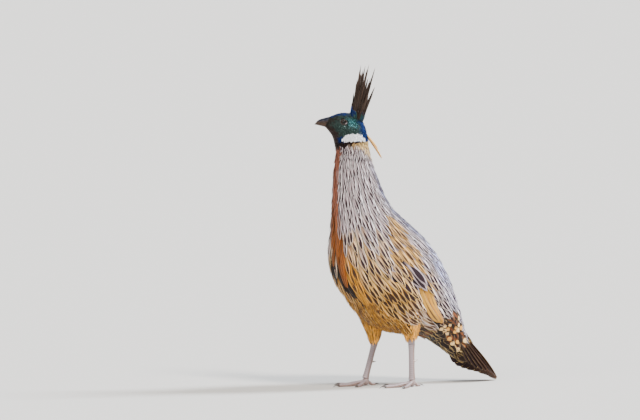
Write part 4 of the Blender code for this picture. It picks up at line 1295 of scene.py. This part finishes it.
def upright_vanes(root, end, bow, normal, half, peak, looks, at):
    """Narrow vanes from roots to ends in the unturned head's frame, bowed along y, then turned with it."""
    bow, half = (np.broadcast_to(value, len(root))[:, None] for value in (bow, half))
    shares = np.linspace(0, 1, 10)
    path = root[:, None] + (end - root)[:, None] * shares[:, None]
    path[..., 1] += bow * np.sin(shares * np.pi)
    normals = turned(unit(normal) + (0, TURN_Y, 0), HEAD_TURN) - (0, TURN_Y, 0)
    normals = np.repeat(normals[:, None], len(shares), axis=1)
    wide = half * np.maximum(outline(shares, peak, 0.6), 0.05)
    return vane_batch(on_head(path), normals, wide, CREST_VANE, 0.25, np.zeros(len(root)), 4, looks, at)


def crest_root(part, side, rng):
    """Roots spread over the crown from the crest's front (part 0) to its rear (part 1)."""
    count = len(part)
    base = np.array(CREST_ROOTS[0]) + (np.array(CREST_ROOTS[1]) - CREST_ROOTS[0]) * part[:, None]
    base = base + rng.normal(0, 0.0008, (count, 2)) - (0, 0.004)
    return stacked(side * rng.uniform(0.0008, 0.0045, count), base[:, 0], base[:, 1])


def tall_crest(rng):
    """Tall feathers in bunches of three along the line of tips, on one side and the other by turns."""
    head = colours("head")
    tips = np.array(CREST_TIPS)
    bunch = np.repeat(CREST_BUNCHES, 3)
    count = len(bunch)
    member = np.arange(count) % 3
    part = bunch / (len(tips) - 1)
    side = np.where(np.arange(count) // 3 % 2 == 0, 1.0, -1.0)
    out = side * rng.uniform(0.0085, 0.0115, count)
    y, z = (np.interp(bunch, np.arange(len(tips)), tips[:, k]) for k in (0, 1))
    root = crest_root(part, side, rng)
    end = stacked(out, y + ((member - 1) * 0.0008 - 0.177 * out), z)
    reach = np.array((0.90, 1.0, 0.80))[member] * np.where(bunch % 1 > 0, rng.uniform(0.82, 0.97, count), 1)
    reach = reach * np.where(bunch < 0.5, 0.74, 1.0)
    end = root + (end - root) * reach[:, None]
    chance = rng.uniform(0, 1, count)
    tone = mix(head.crest, head.crest * 2.2, (member == 1) * 0.7)
    tone = mix(tone, head.blue * 0.8, bunch < 0.5)
    looks = start_looks(tone, chance, mark=tone * 0.4, rim=tone * 2.6, edge=0.22, streak=0.2)
    at = stacked(0.05 + 0.9 * part, 0.5 + 0.3 * side * (0.3 + chance))
    normal = stacked(side * 0.9, rng.uniform(-0.5, 0.5, count), 0.1)
    half = 0.0019 * rng.uniform(0.8, 1.1, count)
    return upright_vanes(root, end, 0.0020 * (1 - 1.6 * part), normal, half, 0.42, looks, at)


def short_crest(kind, count, rng):
    """Shorter feathers by chance over the crest's foot: dark middle ones, or low blue and green ones."""
    head = colours("head")
    tips = np.array(CREST_TIPS)
    part = rng.uniform(0, 1, count)
    side = rng.choice((1.0, -1.0), count)
    root = crest_root(part, side, rng)
    place = np.clip(part * 6 + 1, 1, 6.999)
    low = place.astype(int)
    tip = tips[low] + (tips[np.minimum(low + 1, 7)] - tips[low]) * (place - low)[:, None]
    end = stacked(side * (0.009 if kind == "middle" else 0.030), tip[:, 0], tip[:, 1])
    chance = rng.uniform(0, 1, count)
    if kind == "middle":
        rise = rng.uniform(0.34, 0.72, count)
        tone = mix(head.crest, head.crest * 1.8, chance)
    else:
        rise = (0.010 + 0.009 * chance) / np.linalg.norm(end - root, axis=1)
        root = root + side[:, None] * (0.0046, 0, 0) - (0, 0, 0.002)
        glint = mix(head.green * 1.3, head.teal * 0.5, chance * 3 % 1)
        glint = mix(glint, head.crest, chance > 0.6)
        green = np.maximum(band(part, 0.2, 0.8, 0.1), chance * 5 % 1 > 0.45)
        tone = mix(head.blue * 0.5, glint, green)
    end = root + (end - root) * rise[:, None]
    looks = start_looks(tone, chance, mark=tone * 0.4, rim=tone * 1.7, edge=0.15, streak=0.1)
    at = stacked(0.05 + 0.9 * part, 0.5 + 0.1 * side * (0.3 + chance))
    normal = stacked(side, rng.uniform(-0.8, 0.2, count), 0)
    return upright_vanes(root, end, 0.0016 * (1 - 1.6 * part), normal, 0.0017, 0.5, looks, at)


def make_crest():
    """Two tufts of narrow upright feathers, low blue and green ones round them, and the buff plume."""
    rng = np.random.default_rng(SEEDS["crest"])
    finish = feather_finish("dark_crest_feather", 0.42, 0.0, 0.0, 40.0)
    batches = [tall_crest(rng), short_crest("middle", 46, rng), short_crest("low", 90, rng)]
    placed(vane_object("crest_feathers", batches, finish), "crest_plumage", "crest")

    finish = feather_finish("buff_plume_feather", 0.5, 0.0, 0.1, 40.0)
    part = np.arange(PLUME_COUNT) / (PLUME_COUNT - 1)
    tips = np.array(PLUME_TIPS)[np.arange(PLUME_COUNT) % 3] + rng.normal(0, 0.0007, (PLUME_COUNT, 2))
    root = stacked((part - 0.5) * 0.004, *PLUME_ROOT)
    end = stacked((part - 0.5) * 0.005, tips[:, 0], tips[:, 1])
    tone = mix(colour("head", "plume"), colour("body", "cream") * 1.3, part % 0.3 * 2.6)
    looks = start_looks(tone, part, mark=tone * 0.6, rim=tone * 1.25, edge=0.2, streak=0.1)
    at = stacked(0.1 + 0.8 * part, 0.5)
    strands = upright_vanes(root, end, 0.002, stacked(part - 0.5, 0.8, 0.5), 0.0025, 0.4, looks, at)
    placed(vane_object("plume_feathers", [strands], finish), "buff_plume", "crest_buff")


def extended(keys, u):
    """The curve through the keys, carried on straight before its first one."""
    keys = np.asarray(keys, float)
    return along(keys, u) + np.minimum(u, 0)[:, None] * (keys[1] - keys[0])


def make_bill():
    """Bill halves lofted from ridge, mouth and lower edge, with a nostril slot under a horny lid."""
    f = Finish("bill_horn", Roughness=0.40, Specular_IOR_Level=0.20)
    place = f.object_place()
    height = f.put("SeparateXYZ", {}, {0: place}).also(2)
    streaks = f.noise(place, 300.0, 4.0, (0.4, 0.15, 1.0))
    low = (height + (streaks - 0.5) * 0.003).step(0.4275, 0.4235)
    tone = low.pick(colour("hard", "bill"), colour("hard", "mouth")).tint(0.75 + streaks * 0.5)
    finish = f.show(Base_Color=tone, Normal=f.bump(streaks, 0.0003))
    u = np.linspace(-0.5, 3.0, 40)
    ridge, mouth, lower = (extended(keys, u) for keys in (RIDGE, MOUTH, LOWER))
    arc = np.linspace(-np.pi / 2, np.pi / 2, 33)
    for name, outer, widths in (("bill_upper", ridge, BILL_WIDTHS), ("bill_lower", lower, LOWER_WIDTHS)):
        x = np.interp(u, range(4), widths)[:, None] * np.sin(arc)
        line = mouth[:, None] + (outer - mouth)[:, None] * (np.abs(np.cos(arc)) ** 0.9)[:, None]
        y, z = line[..., 0], line[..., 1]
        if name == "bill_upper":
            ahead, over = y - NOSTRIL[0], z - NOSTRIL[1]
            away = np.hypot(ahead / NOSTRIL_SLOT[0], over / NOSTRIL_SLOT[1])
            over = np.hypot(ahead / NOSTRIL_LID[0], (over - NOSTRIL_LID[2]) / NOSTRIL_LID[1])
            push = 0.0004 * ease(1.4 - over) - 0.0011 * ease(1.5 - away)
            x = x + np.sign(x) * push * (np.abs(x) > 0.001)
        else:
            z = z - MOUTH_GAP
        placed(loft_object(f"{name}_horn", on_head(stacked(x * 0.985, y, z)), finish), "bill_horn", name)


def make_eyes():
    """Eyeballs with a pupil, an iris with fine rays and a wet surface, and the lids round them."""
    f = Finish("dark_eye", Roughness=0.10, Coat_Weight=0.12, Coat_Roughness=0.02, Specular_IOR_Level=0.12)
    uv = f.put("UVMap", {"uv_map": "ball"})
    polar = f.put("SeparateXYZ", {}, {0: uv}).also(1)
    rays = f.noise(uv, 40.0, 2.0, (1.0, 0.15, 1.0))
    ringed = polar.step(0.33, 0.38)
    tone = polar.step(0.155, 0.175).pick(PUPIL, colour("hard", "iris")).tint(0.7 + rays * 0.7)
    ball = f.show(Base_Color=ringed.pick(tone, EYE_RIM))
    f = Finish("lid_skin", Roughness=0.5)
    grain = f.noise(f.object_place(), 1500.0)
    # The lids' rear arc is paler: partly their own pale skin, partly a painted highlight where the eye
    # shines.
    rear = f.attribute("rear", "Fac").step(0.80, 1.05)
    tone = rear.pick(colour("hard", "lid"), colour("body", "silver") * 0.8)
    lid = f.show(Base_Color=tone.tint(0.6 + grain * 0.6), Normal=f.bump(grain, 0.0003))
    polar = np.linspace(0.001, np.pi - 0.001, BALL_GRID[0])[:, None]
    turn = circle(BALL_GRID[1])
    bulge = 1 + 0.05 * ease((0.9 - polar) / 0.7)
    ring = np.sin(polar) * np.array((np.cos(turn), np.sin(turn)))[:, None]
    rings = stacked(np.cos(polar) * bulge, ring[0] * bulge, ring[1] * bulge) * EYE_RADIUS
    u, v = np.meshgrid(turn / (2 * np.pi), polar[:, 0] / np.pi)
    uv = stacked(1 - np.abs(2 * u - 1), v).reshape(-1, 2)
    # Each lid is a closed ring of tube round the opening, laid on the eyeball.
    long, short = LID_GRID
    around, tubes = circle(long), circle(short)
    y, z = LID_RADII[0] * np.cos(around), LID_RADII[1] * np.sin(around)
    x = np.sqrt(np.maximum(EYE_RADIUS**2 - y**2 - z**2, 0)) * 1.02
    out = unit(stacked(0, y, z))[:, None]
    thick = (LID_THICK + LID_WRINKLE * np.sin(around * 18))[:, None]
    lids = (
        stacked(x, y, z)[:, None]
        + out * (np.cos(tubes) * thick + thick * 0.7)[..., None]
        + np.array((1.0, 0, 0)) * (np.sin(tubes) * thick * 0.8)[..., None]
    )
    i, j = np.meshgrid(np.arange(long), np.arange(short), indexing="ij")
    k, m = (i + 1) % long, (j + 1) % short
    quads = stacked(i * short + j, k * short + j, k * short + m, i * short + m).reshape(-1, 4)
    # rear is highest on the lids' rear arc, which carries the pale skin and the painted highlight.
    rear = {"rear": np.repeat(np.sin(around + 2.2), short)}
    for name, side in SIDES.items():
        balls, ring = (on_head((part + EYE) * (side, 1, 1)).reshape(-1, 3) for part in (rings, lids))
        eye = mesh_object(f"eye_{name}_ball", balls, loft_faces(1, *BALL_GRID), ball, {"ball": uv})
        placed(eye, "eye", f"eye_{name}")
        placed(mesh_object(f"lids_{name}", ring, [quads], lid, None, rear), "head_plumage")


def scute_finish():
    """Leg scales: grey-violet plates with darker joints, warmer behind, and a fine grain."""
    scute, rear = colour("hard", "scute"), colour("hard", "shank_rear")
    f = Finish("grey_leg_scale", Roughness=0.42, Specular_IOR_Level=0.4)
    place = f.object_place()
    joints = f.attribute("joint", "Fac")
    behind = f.attribute("behind", "Fac")
    small = f.put("TexVoronoi", {"feature": "DISTANCE_TO_EDGE"}, {"Vector": place, "Scale": 900.0})
    cells = small.step(0.0, 0.12)
    grain = f.noise(place, 1400.0)
    tone = behind.pick(scute, rear)
    tone = tone.tint((0.72 + grain * 0.5) * (1.0 - joints * 0.55) * (1.0 - behind * 0.25 * (1.0 - cells)))
    height = cells * behind + grain * 0.3
    return f.show(Base_Color=tone, Normal=f.bump(height, 0.0003))


def scaled_object(name, lofts, finish):
    """Lofts with their joint and behind values, as one mesh."""
    points = np.concatenate([loft[0].reshape(-1, 3) for loft in lofts])
    blocks = joined_faces((1, *loft[0].shape[:2]) for loft in lofts)
    tints = {
        key: np.concatenate([np.broadcast_to(loft[k], loft[0].shape[:2]).ravel() for loft in lofts])
        for k, key in ((1, "joint"), (2, "behind"))
    }
    return mesh_object(name, points, blocks, finish, None, tints)


def scute_wave(share, rows):
    """Plates in a row: height grows along each plate and falls at its lower edge, and the joint there."""
    place = share * rows % 1
    height = ease(place / 0.25) * (0.55 + 0.45 * place) * ease((1 - place) / 0.10)
    return height, 1 - ease((0.5 - np.abs(place - 0.5)) / 0.09)


def horn_finish(name, tone, low, high, **uniform):
    """Horn with streaks along it, from the low to the high share of its tone."""
    f = Finish(name, **uniform)
    streaks = f.noise(f.object_place(), 500.0, 3.0, (1.0, 0.3, 1.0))
    return f.show(Base_Color=streaks.pick(tone * low, tone * high), Normal=f.bump(streaks, 0.0002))


def shank_loft(hock, ankle):
    """Shank with plates in front and small scales behind, swelling towards both ends."""
    share = np.linspace(-0.28, 1, 220)
    held = np.clip(share, 0, 1)
    swell = 1 + 0.22 * (2 * held - 1) ** 4
    path = hock + (ankle - hock) * share[:, None]
    rings = tube_rings(path, SHANK_DEPTH * swell, SHANK_WIDTH * swell, 36)
    ahead = unit(rings - path[:, None])
    front = ease((0.15 - ahead[..., 1]) / 0.5)
    plates, gaps = (part[:, None] for part in scute_wave(held, SHANK_PLATES))
    small, small_gaps = (part[:, None] for part in scute_wave(held, SHANK_SCALES))
    rise = front * plates * SHANK_PLATE_HEIGHT + (1 - front) * small * SHANK_SCALE_HEIGHT
    dark = front * gaps + (1 - front) * small_gaps * 0.5
    return rings + ahead * rise[..., None] + STAND, dark, ease(0.5 + ahead[..., 1])


def foot_loft(ankle):
    """Ball of the foot: a spheroid whose underside is flat on the floor."""
    polar, turn = np.linspace(0, np.pi, 18)[:, None], circle(28)
    x = np.sin(polar) * np.cos(turn) * FOOT_RADIUS
    y = np.sin(polar) * np.sin(turn) * FOOT_RADIUS * 1.15
    z = np.cos(polar) * FOOT_RADIUS * 1.2
    ball = stacked(x, y, z) * 0.98 + (ankle[0], ankle[1], FOOT_RADIUS * 1.2)
    return np.maximum(ball, ABOVE_FLOOR) + STAND, 0.0, 0.5


def toe_lofts(ankle, side, toe):
    """A toe with plates above and pads below, and its claw, which bends down past the toe's end."""
    turn, reach, width, claw_reach = TOES[toe]
    angle = math.radians(turn)
    out = np.array((side * math.sin(angle), -math.cos(angle), 0))
    across = np.cross(out, (0, 0, 1))
    share = np.linspace(0, 1, 110)
    pads = 1 - 0.34 * share + 0.10 * np.cos(share * np.pi * 4)
    rise = HIND_RISE if toe == "hind" else TOE_HEIGHT
    path = ankle * (1, 1, 0) + out * (share * reach)[:, None]
    sole = width * 0.6
    path[:, 2] = sole + (rise - sole) * (1 - ease(share * 1.3))
    rings = tube_rings(path, width * pads * 1.1, width * pads, 24, across)
    away = unit(rings - path[:, None])
    above = ease((away[..., 2] - 0.1) / 0.5)
    plates, gaps = (part[:, None] for part in scute_wave(share, max(int(reach / TOE_PLATE), 6)))
    pad = (np.sin(share * reach / TOE_PAD) * TOE_PAD_HEIGHT)[:, None]
    rings = rings + away * (above * plates * TOE_PLATE_HEIGHT + (1 - above) * pad)[..., None]
    foot = np.maximum(rings, ABOVE_FLOOR) + STAND, above * gaps, 1 - above
    share = np.linspace(-0.25, 1, 30)
    past = np.clip(share, 0, 1)
    line = path[-1] + out * (share * claw_reach)[:, None]
    line[:, 2] = path[-1, 2] + 0.0016 * np.sin(np.clip(share + 0.2, 0, 1.2) * 2.2) - 0.0024 * past**2
    thick = width * pads[-1] * 0.85 * (1 - 0.90 * past)
    claw = np.maximum(tube_rings(line, thick, thick * 0.8, 16, across), ABOVE_FLOOR)
    return foot, claw + STAND


def spur_loft(hock, ankle):
    """Spur on the shank's rear, bent up a little towards its point."""
    run = unit(ankle - hock)
    out = unit(np.array((0, 1, 0)) - run * run[1])
    share = np.linspace(-0.2, 1, 24)
    past = np.clip(share, 0, 1)
    foot = hock + (ankle - hock) * SPUR_PLACE + out * (SHANK_DEPTH * 0.6)
    path = foot + out * (share * SPUR_LENGTH)[:, None]
    path[:, 2] += 0.0022 * past**2
    thick = SPUR_WIDTH * (1 - 0.82 * past)
    return tube_rings(path, thick, thick, 18) + STAND


def make_legs():
    """Shanks with a row of plates in front, toes with plates above and pads below, claws and spurs."""
    finish = scute_finish()
    horn = horn_finish("claw_horn", colour("hard", "claw"), 0.6, 1.8, Roughness=0.3, Coat_Weight=0.2)
    pale_horn = horn_finish("spur_horn", colour("hard", "spur"), 0.7, 1.2, Roughness=0.35)
    for name, leg in LEGS.items():
        hock = np.array((leg["side"] * HOCK_X, *leg["hock"]))
        ankle = np.array((leg["side"] * ANKLE_X, *leg["ankle"]))
        shank = scaled_object(f"shank_{name}_scales", [shank_loft(hock, ankle)], finish)
        placed(shank, "leg_scale", f"shank_{name}")
        lofts = [foot_loft(ankle)]
        for toe in TOES:
            loft, claw = toe_lofts(ankle, leg["side"], toe)
            lofts.append(loft)
            placed(loft_object(f"claw_{toe}_{name}_horn", claw, horn), "claw_horn", f"claw_{toe}_{name}")
        placed(scaled_object(f"foot_{name}_scales", lofts, finish), "leg_scale", f"foot_{name}")
        spur = loft_object(f"spur_{name}_horn", spur_loft(hock, ankle), pale_horn)
        placed(spur, "claw_horn", f"spur_{name}")


def make_stage():
    """Pale floor, soft sun lamps and the camera at the picture's angle."""
    scene = bpy.context.scene
    stage = settings("stage")
    corners = np.array(((-1, -1, 0), (1, -1, 0), (1, 1, 0), (-1, 1, 0)), float) * FLOOR_REACH
    finish = Finish("pale_floor", Roughness=0.8).show(Base_Color=np.array(stage.floor))
    floor = mesh_object("floor", corners - (0, 0, FLOOR_GAP), [np.array([[0, 1, 2, 3]])], finish)
    world = bpy.data.worlds.new("studio")
    world.use_nodes = True
    sky = world.node_tree.nodes["Background"].inputs
    sky[0].default_value = (0.95, 0.97, 1.0, 1)
    sky[1].default_value = SKY_STRENGTH
    scene.world = world
    for name, azimuth, elevation, power, angle, tint in LAMPS:
        lamp = bpy.data.lights.new(name, "SUN")
        lamp.energy = power
        lamp.angle = math.radians(angle)
        lamp.color = tint
        holder = bpy.data.objects.new(name, lamp)
        holder.rotation_euler = (math.radians(90 - elevation), 0, math.radians(azimuth))
        scene.collection.objects.link(holder)
    a, e = stage.azimuth, stage.elevation
    back = np.array((math.sin(a) * math.cos(e), -math.cos(a) * math.cos(e), math.sin(e)))
    right = np.array((math.cos(a), math.sin(a), 0))
    middle = STAND + right * PICTURE_MIDDLE[0] + np.cross(back, right) * PICTURE_MIDDLE[1]
    camera = bpy.data.cameras.new("camera")
    camera.sensor_width = 36
    camera.lens = camera.sensor_width * stage.distance / stage.width
    camera.clip_end = 500
    holder = bpy.data.objects.new("camera", camera)
    holder.location = middle + back * stage.distance
    holder.rotation_euler = (math.pi / 2 - e, 0, a)
    scene.collection.objects.link(holder)
    scene.camera = holder


class Maker:
    """What every operator shares."""

    bl_options = {"REGISTER", "UNDO"}
    makes = ()

    def execute(self, context):
        for make in self.makes:
            make()
        return {"FINISHED"}


class PHEASANT_OT_skin(Maker, bpy.types.Operator):
    """Make the skin of head, neck, trunk and thighs."""

    bl_idname = "pheasant.skin"
    bl_label = "Skin"
    makes = (make_skin,)


class PHEASANT_OT_trunk_coat(Maker, bpy.types.Operator):
    """Lay the feathers of neck, trunk and thighs."""

    bl_idname = "pheasant.trunk_coat"
    bl_label = "Trunk feathers"
    makes = (make_trunk_coat, make_fluff)


class PHEASANT_OT_head_coat(Maker, bpy.types.Operator):
    """Lay the head's feathers."""

    bl_idname = "pheasant.head_coat"
    bl_label = "Head feathers"
    makes = (make_head_coat,)


class PHEASANT_OT_wings(Maker, bpy.types.Operator):
    """Make the folded wings."""

    bl_idname = "pheasant.wings"
    bl_label = "Wings"
    makes = (make_wings,)


class PHEASANT_OT_tail(Maker, bpy.types.Operator):
    """Make the tail and its coverts."""

    bl_idname = "pheasant.tail"
    bl_label = "Tail"
    makes = (make_tail,)


class PHEASANT_OT_crest(Maker, bpy.types.Operator):
    """Make the crest and the plume."""

    bl_idname = "pheasant.crest"
    bl_label = "Crest and plume"
    makes = (make_crest,)


class PHEASANT_OT_face(Maker, bpy.types.Operator):
    """Make bill, eyes and lids."""

    bl_idname = "pheasant.face"
    bl_label = "Bill and eyes"
    makes = (make_bill, make_eyes)


class PHEASANT_OT_legs(Maker, bpy.types.Operator):
    """Make shanks, feet, claws and spurs."""

    bl_idname = "pheasant.legs"
    bl_label = "Legs"
    makes = (make_legs,)


class PHEASANT_OT_stage(Maker, bpy.types.Operator):
    """Make floor, lights and camera."""

    bl_idname = "pheasant.stage"
    bl_label = "Stage"
    makes = (make_stage,)


GROUPS = {"body": PheasantBody, "head": PheasantHead, "hard": PheasantHard, "stage": PheasantStage}
OPERATORS = (
    PHEASANT_OT_skin,
    PHEASANT_OT_trunk_coat,
    PHEASANT_OT_head_coat,
    PHEASANT_OT_wings,
    PHEASANT_OT_tail,
    PHEASANT_OT_crest,
    PHEASANT_OT_face,
    PHEASANT_OT_legs,
    PHEASANT_OT_stage,
)


class PHEASANT_PT_panel(bpy.types.Panel):
    """Lists the makers and their settings."""

    bl_idname = "PHEASANT_PT_panel"
    bl_label = "Koklass pheasant"
    bl_space_type = "VIEW_3D"
    bl_region_type = "UI"
    bl_category = "Pheasant"

    def draw(self, context):
        for made in OPERATORS:
            self.layout.operator(made.bl_idname)
        for key, group in GROUPS.items():
            for name in group.__annotations__:
                self.layout.prop(settings(key), name)


CLASSES = (*GROUPS.values(), *OPERATORS, PHEASANT_PT_panel)


def register():
    for made in CLASSES:
        bpy.utils.register_class(made)
    for key, group in GROUPS.items():
        setattr(bpy.types.Scene, f"{PREFIX}_{key}", bpy.props.PointerProperty(type=group))


def unregister():
    for key in GROUPS:
        delattr(bpy.types.Scene, f"{PREFIX}_{key}")
    for made in reversed(CLASSES):
        bpy.utils.unregister_class(made)


def main():
    register()
    for made in OPERATORS:
        group, name = made.bl_idname.split(".")
        getattr(getattr(bpy.ops, group), name)()


if __name__ == "__main__":
    main()
